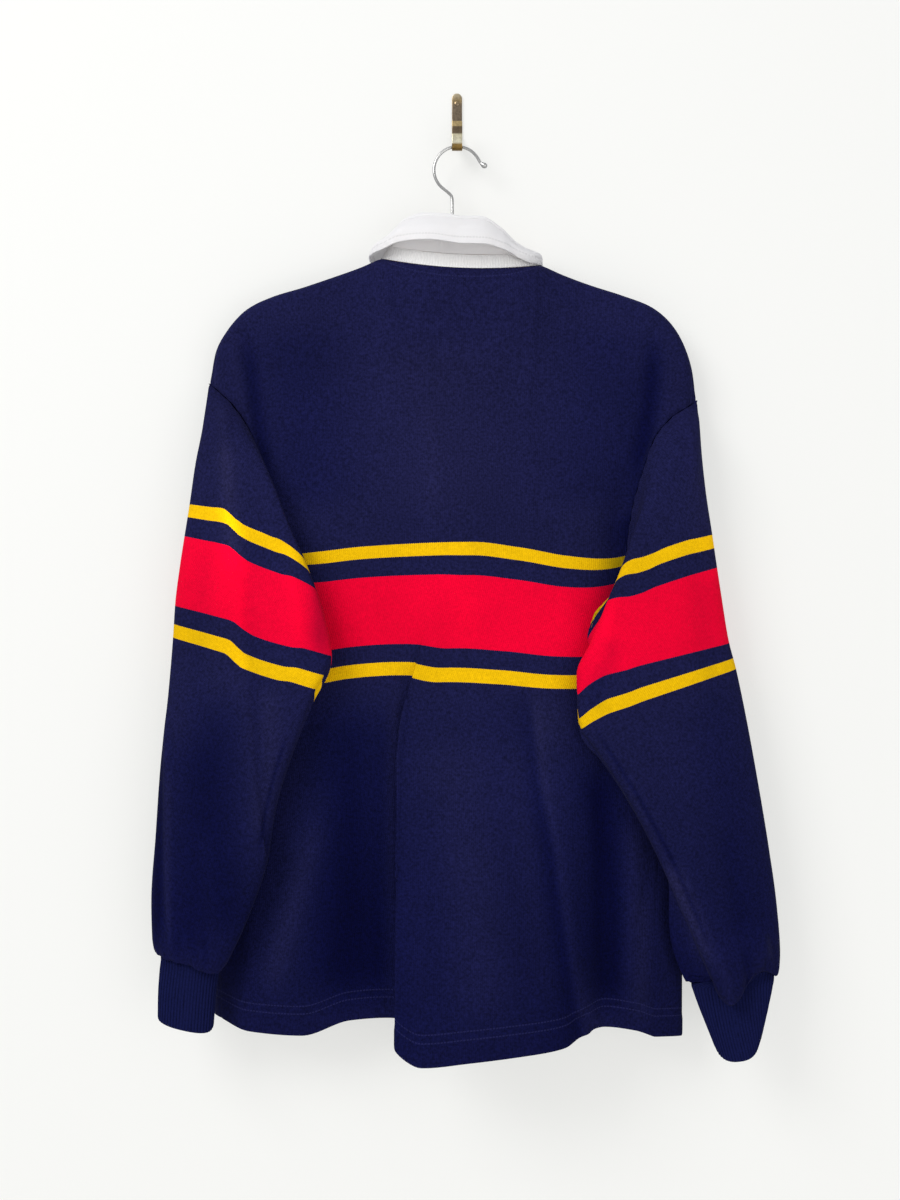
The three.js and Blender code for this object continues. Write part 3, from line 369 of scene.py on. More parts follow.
def unit(vectors):
    """The same directions with a length of one."""
    return vectors / np.maximum(np.linalg.norm(vectors, axis=-1, keepdims=True), 1e-9)


def distances(line):
    """Distance travelled along a line of points, from nought at its first."""
    return np.concatenate([[0], np.cumsum(np.linalg.norm(np.diff(line, axis=0), axis=1))])


def smooth_curve(places, values):
    """A cubic curve through rising places: its slope at each place is the harmonic mean of the slopes
    on either side, and nought where they differ in sign, so it never overshoots its values."""
    places = np.asarray(places, float)
    values = np.asarray(values, float)
    steps = np.diff(places)
    slopes = np.diff(values) / steps
    before = np.concatenate([slopes[:1], slopes])
    after = np.concatenate([slopes, slopes[-1:]])
    product = before * after
    total = np.where(product > 0, before + after, 1)
    tangents = np.where(product > 0, 2 * product / total, 0)

    def curve(place):
        place = np.asarray(place, float)
        i = np.clip(np.searchsorted(places, place) - 1, 0, len(steps) - 1)
        t = np.clip((place - places[i]) / steps[i], 0, 1)
        bend = t * t * (3 - 2 * t)
        enter = t * (1 - t) ** 2 * steps[i] * tangents[i]
        leave = t * t * (t - 1) * steps[i] * tangents[i + 1]
        return mix(values[i], values[i + 1], bend) + enter + leave

    return curve


def curves_of(rows):
    """Smooth curves over a table's first column, by the names of the others."""
    places, *names = rows
    return {name: smooth_curve(rows[places], rows[name]) for name in names}


def smooth_path(places, points):
    """A smooth path through points: the three coordinates are smooth curves over the places."""
    curves = [smooth_curve(places, axis) for axis in np.asarray(points, float).T]
    return lambda place: np.stack([curve(place) for curve in curves], axis=-1)


armhole = curves_of(ARMHOLE)
side_seams = curves_of(SIDE_SEAMS)
hems = {"back": curves_of(BACK_HEM), "front": curves_of(FRONT_HEM)}
chest_row = curves_of(CHEST_ROW)
sleeve_edges = {side: curves_of(rows) for side, rows in SLEEVES.items()}
sleeve_turn = curves_of(SLEEVE_TURN)
cuff_edges = {side: curves_of(rows) for side, rows in CUFFS.items()}
collar_curves = curves_of(COLLAR)


def top_points(face):
    """The 27 points along a panel's top: the left shoulder, the neckline and the right shoulder."""
    first, last = NECK_COLUMNS
    points = np.zeros((COLUMNS + 1, 3))
    for rows, side, way in ((slice(0, first + 1), "left", 1), (slice(last, None), "right", -1)):
        x, z = SHOULDER[side + "X"][::way], SHOULDER[side + "Z"][::way]
        points[rows] = np.stack([x, np.full_like(x, RIDGE_Y), z], axis=-1)
    if face == "front":
        points[first:last + 1] = np.stack([FRONT_NECK[axis] for axis in "xyz"], axis=-1)
        return points
    bow = np.sin(np.pi * BACK_NECK_SHARES)
    bow[[0, -1]] = 0
    neck = mix(points[first], points[last], BACK_NECK_SHARES[:, None])
    neck[:, 1] = RIDGE_Y - NECK_BACK_BOW * bow ** 0.35
    neck[:, 2] -= NECK_BACK_DROP * bow ** 0.7
    points[first:last + 1] = neck
    return points


panel_tops = {face: smooth_path(np.arange(COLUMNS + 1), top_points(face)) for face in ("back", "front")}


def panel_edge(side, face, share):
    """A panel's edge: the armhole seam as far as the armpit, and the side seam below it."""
    sign = -1 if side == "left" else 1
    reach = armhole["reach" if face == "back" else "frontReach"](share)
    drop = 0 if side == "left" else RIGHT_TIP_DROP * (1 - smooth(0, 0.15, share))
    upper = np.stack([
        CENTRE_X + sign * reach,
        armhole["backY" if face == "back" else "frontY"](share),
        armhole["z"](share) - drop,
    ], axis=-1)
    lower = np.stack([side_seams[side + axis](share) for axis in "XYZ"], axis=-1)
    return np.where((share > ARMPIT_SHARE)[..., None], lower, upper)


def panel_base(face, column, share):
    """A panel's point before its edges are fitted. From the top to the chest row it goes straight down
    over a rounded ridge; below, it goes straight down in height, and its hem's folds come in."""
    across = column / COLUMNS
    top = panel_tops[face](column)
    hem = hems[face]
    chest_x = mix(*CHEST_EDGES, across)
    chest_z = chest_row["z"](across)
    if face == "back":
        chest_y = BACK_CHEST_Y - BACK_CHEST_BOW * np.sin(np.pi * across)
        shoulder_y = mix(*BACK_SHOULDER_Y, smooth(0.24, 0.36, np.minimum(across, 1 - across)))
    else:
        chest_y = np.full_like(across, FRONT_CHEST_Y)
        shoulder_y = np.full_like(across, FRONT_SHOULDER_Y)
    down = np.clip(share / CHEST_SHARE, 0, 1)
    bend = 1 - np.clip(share * BODY_LENGTH / RIDGE_ROUNDING, 0, 1)
    upper = np.stack([
        mix(top[..., 0], chest_x, smooth(0, 1, down)),
        mix(top[..., 1], mix(shoulder_y, chest_y, down), np.sqrt(1 - bend * bend)),
        mix(top[..., 2], chest_z, down),
    ], axis=-1)
    down = np.clip((share - CHEST_SHARE) / (1 - CHEST_SHARE), 0, 1)
    lower = np.stack([
        mix(chest_x, hem["x"](across), smooth(*FOLD_SPAN, down)),
        mix(chest_y, hem["y"](across), down ** 1.2),
        mix(chest_z, hem["z"](across), down),
    ], axis=-1)
    return np.where((share <= CHEST_SHARE)[..., None], upper, lower)


def panel_point(face, column, share):
    """A panel's point, with both edges drawn to the seams: the pull fades as the square of the
    distance that is left, over one share of the width sideways and another in depth."""
    column, share = np.broadcast_arrays(np.asarray(column, float), np.asarray(share, float))
    point = panel_base(face, column, share)
    across = column / COLUMNS
    for side, edge_column, distance in (("left", 0, across), ("right", COLUMNS, 1 - across)):
        pull = panel_edge(side, face, share) - panel_base(face, np.full_like(column, edge_column), share)
        wide, narrow = (np.clip(1 - distance / reach, 0, 1) ** 2 for reach in EDGE_PULL)
        point = point + pull * np.stack([wide, narrow, wide], axis=-1)
    return np.where((share == 0)[..., None], panel_tops[face](column), point)


def normals_of(points, closed, turned):
    """Unit normals of a grid: the way down the rows crossed with the way along the columns."""
    down = np.gradient(points, axis=0)
    if closed:
        along = np.roll(points, -1, axis=1) - np.roll(points, 1, axis=1)
    else:
        along = np.gradient(points, axis=1)
    return unit(np.cross(down, along) * (-1 if turned else 1))


def run_lengths(points, axis, closed=False):
    """Distance travelled from the first point along an axis of a grid, one more than closed needs."""
    if closed:
        points = np.concatenate([points, points[:, :1]], axis=1)
    steps = np.linalg.norm(np.diff(points, axis=axis), axis=-1)
    start = np.zeros_like(np.take(steps, [0], axis=axis))
    return np.concatenate([start, np.cumsum(steps, axis=axis)], axis=axis)


def weld(mesh):
    """Merges points that coincide and turns the faces outwards."""
    loose = bmesh.new()
    loose.from_mesh(mesh)
    bmesh.ops.remove_doubles(loose, verts=loose.verts, dist=1e-6)
    bmesh.ops.recalc_face_normals(loose, faces=loose.faces)
    loose.to_mesh(mesh)
    loose.free()


def make_object(name, points, faces, corner_uv=None, attributes=None, sharp=50, welded=False):
    """Puts points in mm, faces, the faces' own UVs and the points' attributes into a new object."""
    mesh = bpy.data.meshes.new(name)
    mesh.from_pydata((np.reshape(points, (-1, 3)) * MM).tolist(), [], faces)
    mesh.update()
    if corner_uv is not None:
        layer = mesh.uv_layers.new(name="UVMap")
        layer.data.foreach_set("uv", np.asarray(corner_uv, np.float32).ravel())
    for key, values in (attributes or {}).items():
        layer = mesh.attributes.new(key, "FLOAT", "POINT")
        layer.data.foreach_set("value", np.asarray(values, np.float32).ravel())
    mesh.polygons.foreach_set("use_smooth", np.ones(len(mesh.polygons), bool))
    if sharp:
        mesh.set_sharp_from_angle(angle=math.radians(sharp))
    if welded:
        weld(mesh)
    made = bpy.data.objects.new(name, mesh)
    bpy.context.scene.collection.objects.link(made)
    return made


def round_quads(count, sides):
    """Faces between rings of points: each joins two neighbours of a ring to those of the next."""
    r, c = (grid.ravel() for grid in np.meshgrid(np.arange(count - 1), np.arange(sides), indexing="ij"))
    after = (c + 1) % sides
    corners = (r * sides + c, r * sides + after, (r + 1) * sides + after, (r + 1) * sides + c)
    return np.stack(corners, axis=-1).tolist()


def cloth_object(name, points, thickness, closed=False, turned=False, hole=None, attributes=None):
    """A wall of cloth over a grid of outer points: the inner points lie the thickness below the outer
    ones along the normals, and a strip joins the two along every free edge. The UV map measures metres
    along the columns and down the rows."""
    rows, columns = points.shape[:2]
    inner = points - normals_of(points, closed, turned) * thickness
    last = columns if closed else columns - 1
    r, c = np.meshgrid(np.arange(rows - 1), np.arange(last), indexing="ij")
    keep = np.ones(r.size, bool) if hole is None else ~hole(r, c).ravel()
    r, c = r.ravel()[keep], c.ravel()[keep]
    corner_rows = np.stack([r, r + 1, r + 1, r], axis=-1)
    corner_columns = np.stack([c, c, c + 1, c + 1], axis=-1)
    if turned:
        corner_rows, corner_columns = corner_rows[:, ::-1], corner_columns[:, ::-1]
    quads = corner_rows * columns + corner_columns % columns
    count = rows * columns
    starts, ends = quads.ravel(), np.roll(quads, -1, axis=1).ravel()
    free = ~np.isin(starts * count + ends, ends * count + starts)
    a, b = starts[free], ends[free]
    rim = np.stack([b, a, a + count, b + count], axis=-1)
    faces = np.concatenate([quads, quads[:, ::-1] + count, rim])
    across = run_lengths(points, 1, closed) * MM
    middle = across[:, across.shape[1] // 2, None]
    across = across - middle + middle.mean()
    down = np.broadcast_to(run_lengths(points, 0).mean(axis=1, keepdims=True) * MM, across.shape)
    uv = np.stack([across, down], axis=-1)
    outer_uv = uv[corner_rows, corner_columns]
    next_rows, next_columns = np.roll(corner_rows, -1, axis=1), np.roll(corner_columns, -1, axis=1)
    a_uv = uv[corner_rows.ravel()[free], corner_columns.ravel()[free]]
    b_uv = uv[next_rows.ravel()[free], next_columns.ravel()[free]]
    rim_uv = np.stack([b_uv, a_uv, a_uv, b_uv], axis=1)
    corner_uv = np.concatenate([outer_uv, outer_uv[:, ::-1], rim_uv])
    everywhere = {key: np.tile(value.ravel(), 2) for key, value in (attributes or {}).items()}
    return make_object(name, np.stack([points, inner]), faces.tolist(), corner_uv, everywhere)


def path_distance(x, z, path):
    """Signed distance to a line of points given as X and Z, positive on its right as it goes down, and
    the share of its length at the nearest place."""
    path = np.array(path, float)
    lengths = np.linalg.norm(np.diff(path, axis=0), axis=1)
    starts = np.concatenate([[0], np.cumsum(lengths)])
    best = np.full(x.shape, 1e9)
    signed = np.zeros(x.shape)
    share = np.zeros(x.shape)
    for i, length in enumerate(lengths):
        way = (path[i + 1] - path[i]) / length
        dx, dz = x - path[i, 0], z - path[i, 1]
        along = np.clip(dx * way[0] + dz * way[1], 0, length)
        distance = np.hypot(dx - along * way[0], dz - along * way[1])
        nearer = distance < best
        side = np.sign(dz * way[0] - dx * way[1])
        signed = np.where(nearer, distance * side, signed)
        share = np.where(nearer, (starts[i] + along) / starts[-1], share)
        best = np.minimum(best, distance)
    return signed, share


def ridge(x, z, path, height, width, sharpness=1.0):
    """A soft ridge, or a trough where height is negative: a bell across the path, as wide as stated,
    that fades out over a fifth of the path's length at either end."""
    distance, share = path_distance(x, z, path)
    ends = smooth(0, 0.2, share) * smooth(0, 0.2, 1 - share)
    return height * ends * np.exp(-np.abs(distance / width) ** (2 / sharpness))


def step(x, z, path, height, width, reach):
    """An overlapping edge: the cloth on the path's right stands higher by the height, over the stated
    width, and levels out over the reach. It fades in over a sixth of the path at its upper end."""
    distance, share = path_distance(x, z, path)
    rise = np.tanh(distance / width) * np.exp(-np.abs(distance) / reach)
    return height / 2 * rise * smooth(0, 0.16, share)


def puckers(along, away, height, pitch, reach, phase=0.0):
    """Small gathers beside a seam: uneven waves along it that die away from it."""
    waves = np.sin(2 * np.pi * along / pitch + phase) + 0.6 * np.sin(2 * np.pi * along / (pitch * 1.7) + 1.3)
    return height * waves * np.exp(-np.abs(away) / reach)


# Lines that both a crease and a tone follow
RIGHT_FOLD = (
    (66, -560), (71, -600), (78, -665), (90, -724), (97, -781), (104, -828), (112, -874), (121, -906),
)
UNDERARM_SEAMS = {
    "left": ((-158, -612), (-171, -655), (-179, -690), (-186, -730)),
    "right": ((123, -598), (141, -630), (170, -675), (200, -731), (224, -786), (241, -828)),
}
# Creases of the back as it is seen, in X and Z: kind, path, height, width and, for a step, its reach
BACK_CREASES = (
    (ridge, ((-206, -222), (-200, -262), (-193, -300), (-187, -337), (-180, -372)), -4.0, 8.0),
    (ridge, ((-214, -226), (-212, -262), (-206, -300), (-199, -330)), 1.6, 6),
    (ridge, ((190, -222), (189, -261), (186, -299), (179, -337), (171, -378)), -4.0, 9.0),
    (ridge, ((176, -250), (170, -320), (158, -400), (146, -460)), -3.0, 16),
    (step, ((-50, -572), (-54, -596), (-57, -630), (-58, -680), (-58, -740)), -2.6, 2.4, 24),
    (step, RIGHT_FOLD, 6.5, 4.0, 30),
    (ridge, ((-120, -650), (-132, -700), (-152, -770), (-180, -870)), 3.6, 15),
    (ridge, ((-86, -560), (-90, -700), (-92, -880)), -4.0, 17),
    (ridge, ((-196, -640), (-208, -740), (-214, -860)), -3.5, 10),
    (step, ((180, -742), (172, -775), (166, -810), (163, -840)), -1.6, 1.5, 10),
    (ridge, ((166, -690), (164, -790), (163, -890)), 4.0, 12),
    (ridge, ((134, -640), (141, -740), (146, -880)), -3.0, 12),
    (ridge, ((-28, -290), (-23, -360), (-20, -440)), 1.2, 9),
    (ridge, ((2, -380), (6, -470), (12, -560)), 1.0, 16),
    (ridge, ((-66, -172), (-61, -192), (-56, -222)), -0.9, 3.5),
    (ridge, ((-82, -176), (-92, -196), (-104, -222)), -0.9, 4.5),
    (ridge, ((86, -180), (100, -196), (122, -212)), -1.1, 4.0),
    (ridge, ((74, -184), (66, -202), (60, -226)), -0.8, 3.5),
    (ridge, ((150, -204), (172, -214), (186, -224)), -1.0, 5.0),
    (ridge, ((112, -874), (122, -888), (138, -902)), -3.0, 5.0),
    (ridge, ((10, -700), (24, -780), (30, -900)), 1.6, 22),
    (ridge, ((-30, -640), (-22, -760), (-16, -900)), -1.6, 16),
)
# Creases of the front, which the wall hides: of the same kinds and depths
FRONT_CREASES = (
    (ridge, ((-200, -226), (-192, -270), (-184, -320), (-172, -372)), -4.5, 7),
    (ridge, ((192, -232), (187, -270), (180, -320), (168, -376)), -4.5, 7),
    (ridge, ((-70, -214), (-92, -262), (-120, -330)), 1.6, 8),
    (ridge, ((78, -216), (98, -262), (122, -330)), 1.6, 8),
    (ridge, ((-150, -420), (-128, -520), (-116, -640)), -2.5, 14),
    (ridge, ((146, -430), (120, -540), (96, -660)), -2.5, 14),
    (ridge, ((-60, -520), (-62, -680), (-62, -880)), 2.4, 14),
    (ridge, ((96, -560), (94, -700), (92, -880)), 2.4, 13),
    (ridge, ((-10, -420), (-12, -560), (-9, -760)), -1.8, 18),
    (ridge, ((-200, -600), (-206, -720), (-208, -860)), 2.0, 12),
    (ridge, ((170, -640), (176, -760), (180, -870)), -2.4, 10),
    (ridge, ((30, -410), (60, -420), (96, -412)), -0.8, 6),
)
# Painted shade (below nought) and painted highlight (above) on the back, for the light and shade of its
# folds: path, amount and width, and the reach where it changes at an edge
BACK_PAINTED_SHADING = (
    (((-112, -560), (-112, -700), (-106, -900)), -0.42, 34),
    (((-70, -560), (-72, -660), (-74, -760), (-74, -900)), -0.24, 11),
    (((-124, -690), (-150, -770), (-184, -880)), 0.14, 15),
    (((84, -585), (92, -690), (108, -790), (124, -890)), -0.14, 14),
    (RIGHT_FOLD, 0.40, 3.0, 30),
    (((-50, -560), (-55, -600), (-58, -680), (-58, -780), (-58, -890)), -0.24, 3.0, 26),
    (((52, -585), (62, -690), (76, -790), (90, -890)), 0.12, 14),
    (((136, -620), (142, -760), (140, -900)), -0.46, 22),
    (((118, -560), (108, -700), (122, -860)), -0.16, 20),
    (((176, -760), (174, -900)), 0.18, 9),
    (((-8, -600), (10, -760), (20, -900)), 0.14, 45),
    (((-201, -238), (-196, -300), (-186, -360), (-178, -400)), -0.20, 7),
    (((192, -232), (188, -299), (178, -360), (160, -450)), -0.30, 9),
    (((168, -400), (158, -450), (150, -520)), -0.36, 16),
    (((-168, -420), (-146, -520)), -0.22, 14),
    (((-20, -230), (-12, -420)), 0.10, 60),
    (((-160, -210), (-150, -300), (-140, -420)), -0.20, 48),
    (((150, -210), (146, -300), (130, -420)), -0.16, 44),
)
# Painted shade (below nought) and painted highlight (above) on the sleeves: path, amount and width
SLEEVE_PAINTED_SHADING = {
    "left": (
        (((-282, -600), (-284, -700), (-285, -835)), -0.45, 6),
        (((-273, -640), (-272, -760), (-270, -822)), 0.20, 3),
        (UNDERARM_SEAMS["left"], -0.25, 2),
        (((-224, -560), (-222, -700), (-212, -830)), -0.30, 26),
        (((-222, -330), (-214, -420), (-208, -480)), 0.25, 10),
        (((-176, -560), (-176, -640), (-184, -720)), 0.20, 12),
        (((-246, -600), (-252, -720), (-256, -840)), -0.26, 26),
        (((-150, -380), (-128, -480), (-128, -560)), -0.25, 10),
    ),
    "right": (
        (((236, -560), (262, -700), (282, -840)), -0.16, 30),
        (((196, -730), (222, -790), (240, -840)), 0.35, 9),
        (((146, -520), (126, -600)), -0.10, 10),
        (((136, -640), (160, -720)), -0.15, 6),
        (UNDERARM_SEAMS["right"], -0.25, 2),
        (((240, -360), (250, -480)), 0.12, 24),
    ),
}
# Painted shade along the lower part of the shirt: the height where it starts, where it is full, and how much
PAINTED_SHADE_FALL = (-520, -900, 0.32)
# Painted shade takes more of the red and green than of the blue, so the shaded cloth stays blue
PAINTED_SHADE_POWERS = (1.9, 1.6, 0.6)
SLEEVE_CREASES = {
    "left": (
        (ridge, ((-226, -296), (-222, -322), (-217, -366), (-214, -404)), 3.2, 5.0),
        (step, ((-215, -392), (-211, -412), (-204, -428), (-201, -452), (-199, -528), (-191, -604),
                (-181, -712)), -4.6, 2.6, 24),
        (ridge, ((-276, -590), (-275, -680), (-273, -760), (-270, -822)), 2.4, 3.2),
        (ridge, ((-238, -420), (-244, -520), (-246, -640)), -1.8, 12),
        (ridge, ((-160, -430), (-150, -500), (-146, -540)), 1.6, 7),
        (ridge, ((-236, -700), (-230, -760), (-224, -826)), 1.6, 9),
        (ridge, UNDERARM_SEAMS["left"], -1.1, 1.7),
        (ridge, ((-250, -796), (-246, -812), (-244, -830)), -1.6, 3.0),
        (ridge, ((-236, -802), (-235, -816), (-236, -834)), -1.8, 2.8),
        (ridge, ((-262, -800), (-262, -814), (-262, -828)), -1.2, 2.8),
    ),
    "right": (
        (ridge, ((231, -300), (228, -340), (226, -390)), 2.0, 5.0),
        (ridge, ((150, -640), (178, -700), (206, -762), (228, -812)), 2.6, 5.0),
        (ridge, ((250, -700), (262, -760), (270, -820)), -1.8, 9),
        (ridge, UNDERARM_SEAMS["right"], -1.2, 1.8),
        (ridge, ((226, -420), (236, -520), (250, -620)), -1.6, 14),
        (ridge, ((150, -470), (140, -520), (134, -560)), 1.6, 8),
        (ridge, ((246, -816), (252, -832), (256, -852)), 3.4, 6.0),
        (ridge, ((270, -812), (272, -826), (274, -842)), -3.6, 4.0),
        (ridge, ((288, -800), (290, -818), (292, -834)), 1.8, 5.0),
    ),
}
SLEEVE_FAR_CREASES = {
    "left": (
        (ridge, ((-206, -420), (-216, -520), (-226, -640)), 1.8, 10),
        (ridge, ((-250, -560), (-262, -660), (-268, -780)), -1.8, 8),
        (ridge, ((-210, -680), (-226, -740), (-244, -820)), 1.6, 8),
    ),
    "right": (
        (ridge, ((200, -420), (214, -520), (226, -640)), 1.8, 10),
        (ridge, ((252, -540), (268, -640), (284, -770)), -1.8, 8),
        (ridge, ((214, -690), (236, -750), (258, -826)), 1.6, 8),
    ),
}
# How far the stripes ride up beside a sleeve's long crease, by the share of the way across: at the
# upper stripe, and at the lower one where it differs
STRIPE_SHIFT = {
    "left": curves_of(table("across up", [
        (0, 1), (0.1, 2.5), (0.3, 5.2), (0.38, 6), (0.45, 2), (0.5, -1), (0.58, -1.5), (0.75, 0),
        (0.84, 3), (1, 4),
    ])),
    "right": curves_of(table("across up low", [
        (0, 1, 1), (0.3, 1.2, 1.2), (0.6, 1, 1), (0.7, 0, 0), (0.8, 1, 0), (0.92, 5, -4), (1, 7, -10),
    ])),
    "back": curves_of(table("across up", [
        (0, -4), (0.2, -3.5), (0.3, -1.5), (0.4, -0.5), (0.5, 0), (0.65, 0), (0.76, -1.5), (1, -1.5),
    ])),
}


def painted_shading_of(points, tones, height=0.0):
    """How light the cloth is painted: painted shade and painted highlight along the listed paths, painted
    shade in the troughs and painted highlight on the ridges of its folds by how far they stand out, and
    painted shade towards the bottom."""
    tone = np.clip(height, -7, 7) * 0.035
    for path, *values in tones:
        kind = ridge if len(values) == 2 else step
        tone = tone + kind(points[..., 0], points[..., 2], path, *values)
    top, bottom, fall = PAINTED_SHADE_FALL
    return np.clip(1 + tone - fall * smooth(top, bottom, points[..., 2]), 0.3, 1.5)


def crease_height(points, creases):
    """The sum of the creases at each point's X and Z."""
    height = np.zeros(points.shape[:2])
    for kind, *values in creases:
        height = height + kind(points[..., 0], points[..., 2], *values)
    return height * bpy.context.scene.shirt_sizes.creases


def seam_dip(distance, depth=1.0, width=2.2):
    """The groove at a seam: cloth turns in by the depth, over the width."""
    return -depth * np.exp(-(distance / width) ** 2)


def panel_grid(face):
    """Columns and rows of a panel, closer together beside the seams, in the neck and at the hem."""
    close = np.array([0, 0.04, 0.09, 0.16])
    even = np.linspace(0.25, COLUMNS - 0.25, 7 * COLUMNS - 2)
    columns = np.concatenate([close, even, COLUMNS - close[::-1]])
    lines = np.array([*SLIT_COLUMNS, *NECK_COLUMNS], float)
    for line in lines:
        columns[np.argmin(np.abs(columns - line))] = line
    shares = np.concatenate([
        np.linspace(0, 0.022, 9), np.linspace(0.027, SLIT_SHARE, 60), np.linspace(0.294, 0.99, 160),
        [0.994, 0.998, 1],
    ])
    return columns, shares


def panel_object(face):
    """A body panel: its worked-out surface with seams turned in, creases, and stripe distances."""
    columns, shares = panel_grid(face)
    column, share = np.meshgrid(columns, shares)
    turned = face == "front"
    points = panel_point(face, column, share)
    edges = [np.linalg.norm(points - points[:, [i]], axis=-1) for i in (0, -1)]
    from_seam = np.minimum(*edges)
    below_top = run_lengths(points, 0)
    extra = seam_dip(from_seam) + seam_dip(below_top, 0.9, 2.0)
    upper = 1 - smooth(0.42, 0.5, share)
    extra = extra + upper * puckers(below_top, from_seam, 0.35, 13, 9)
    creases = BACK_CREASES if face == "back" else FRONT_CREASES
    height = crease_height(points, creases) * smooth(0, 14, from_seam) * smooth(0, 12, below_top)
    # Painted shading, kept in the tone attribute: painted shade in troughs and listed places, painted
    # highlight on ridges
    tone = painted_shading_of(points, BACK_PAINTED_SHADING if face == "back" else (), height)
    points = points + normals_of(points, False, turned) * (height + extra)[..., None]
    down = (share - CHEST_SHARE) / (1 - CHEST_SHARE)
    above_hem = (1 - share) / (1 - CHEST_SHARE) * STRIPED_LENGTH
    points = points + hem_roll(points, above_hem, turned)
    hole = None
    if turned:
        first, last = SLIT_COLUMNS
        middle_column = (columns[1:] + columns[:-1]) / 2
        middle_share = (shares[1:] + shares[:-1]) / 2

        def hole(r, c):
            inside = (middle_column[c] > first) & (middle_column[c] < last)
            return inside & (middle_share[r] < SLIT_SHARE)

    stripe = down * STRIPED_LENGTH
    if face == "back":
        stripe = stripe + STRIPE_SHIFT["back"]["up"](column / COLUMNS)
    attributes = {
        "stripe": stripe * MM,
        "hem": above_hem * MM,
        "neck": below_top * MM,
        "seam": from_seam * MM,
        "tone": tone,
    }
    cloth = bpy.context.scene.shirt_sizes.cloth / MM
    return cloth_object(face + "_cloth", points, cloth, turned=turned, hole=hole, attributes=attributes)


def hem_roll(points, above_hem, turned):
    """The hem's doubled cloth: it stands proud below the stitches and rolls in at the edge."""
    lift = 0.55 * (1 - smooth(20, 23, above_hem)) - 0.5 * np.exp(-(above_hem / 1.6) ** 2)
    lift = lift - 0.35 * np.exp(-((above_hem - 21) / 1.8) ** 2)
    return normals_of(points, False, turned) * lift[..., None]


def sleeve_turns(k, share):
    """Turns round a sleeve's tube at a place k of 22 along the armhole: up to half a turn at the last
    row that is seen, then to the underarm, and from there to a whole turn."""
    seen, underarm = sleeve_turn["seenRow"](share), sleeve_turn["underarm"](share)
    second = mix(0.5, underarm, (k - seen) / (ARMPIT_ROW - seen))
    third = mix(underarm, 1, (k - ARMPIT_ROW) / (SLEEVE_SIDES - ARMPIT_ROW))
    return np.where(k <= seen, 0.5 * k / seen, np.where(k <= ARMPIT_ROW, second, third))


def flat_tube(turns):
    """A softly squared oval: the share from the outer edge to the inner one, and the share of the half
    depth, positive on the viewer's side."""
    angle = 2 * np.pi * turns
    across = np.sign(np.cos(angle)) * np.abs(np.cos(angle)) ** 0.8
    depth = np.sign(np.sin(angle)) * np.abs(np.sin(angle)) ** 0.75
    return (1 - across) / 2, np.where(np.abs(depth) < 1e-9, 0, depth)


def sleeve_ring(side, share, turns):
    """Points of a sleeve's tube: straight from the outer edge to the inner one, with the two sides
    standing off that line, and the far side hanging lower where it sags."""
    edge = sleeve_edges[side]
    across, depth = flat_tube(turns)
    stand = np.where(depth > 0, edge["near"](share), edge["far"](share))
    droop = np.where(depth > 0, 0, sleeve_turn["droop"](share) * depth)
    return np.stack([
        mix(edge["outX"](share), edge["inX"](share), across),
        mix(edge["outY"](share), edge["inY"](share), across) - stand * depth,
        mix(edge["outZ"](share), edge["inZ"](share), across) + droop,
    ], axis=-1)


def armhole_points(side, k):
    """The armhole seam's points, down the back's edge to the armpit and up the front's."""
    share = np.interp(np.where(k <= ARMPIT_ROW, k, SLEEVE_SIDES - k), np.arange(12), ROW_SHARES)
    column = np.full_like(k, 0 if side == "left" else COLUMNS)
    back, front = (panel_point(face, column, share) for face in ("back", "front"))
    return np.where((k <= ARMPIT_ROW)[..., None], back, front)


def under_layer(side, turns, share):
    """How far a sleeve's under layer reaches in beside the upper one, how far its stripes ride up there,
    and how much of it is seen."""
    beside = smooth(0.5, 0.555, turns) * (1 - smooth(0.6, 0.8, turns))
    reach, up, seen = np.zeros((3, *share.shape))
    for first, full, last, far, rise in UNDER_LAYER[side]:
        held = beside * smooth(first, full, share) * (1 - smooth(last, last + 0.06, share))
        reach, up, seen = reach + far * held, up + rise * held, seen + held
    return reach, up, seen


def sleeve_points(side, k, share):
    """A sleeve leaves the armhole seam and becomes a hanging tube over a third of its length. Where its
    under layer shows beside the upper one, that layer reaches further in."""
    start = sleeve_ring(side, np.zeros_like(share), sleeve_turns(k, np.zeros_like(share)))
    hold = 1 - smooth(0, ARMHOLE_REACH, share)
    turns = sleeve_turns(k, share)
    ring = sleeve_ring(side, share, turns)
    ring[..., 0] -= under_layer(side, turns, share)[0]
    return ring + (armhole_points(side, k) - start) * hold[..., None]


def pouch(side, points, depth, down):
    """The cloth gathered over a cuff: over the last part of the sleeve's near side it bellies out and
    down by half a sine, so that it hangs past the seam and turns back up to it."""
    bell = np.sin(np.pi * np.clip((down - POUCH_SHARE) / (1 - POUCH_SHARE), 0, 1))
    move = np.zeros(points.shape)
    for x, width, drop, out in POUCHES[side]:
        share = np.exp(-np.abs((points[..., 0] - x) / width) ** 2.6) * smooth(0.1, 0.7, depth) * bell
        move = move - np.stack([0 * share, out * share, drop * share], axis=-1)
    return move


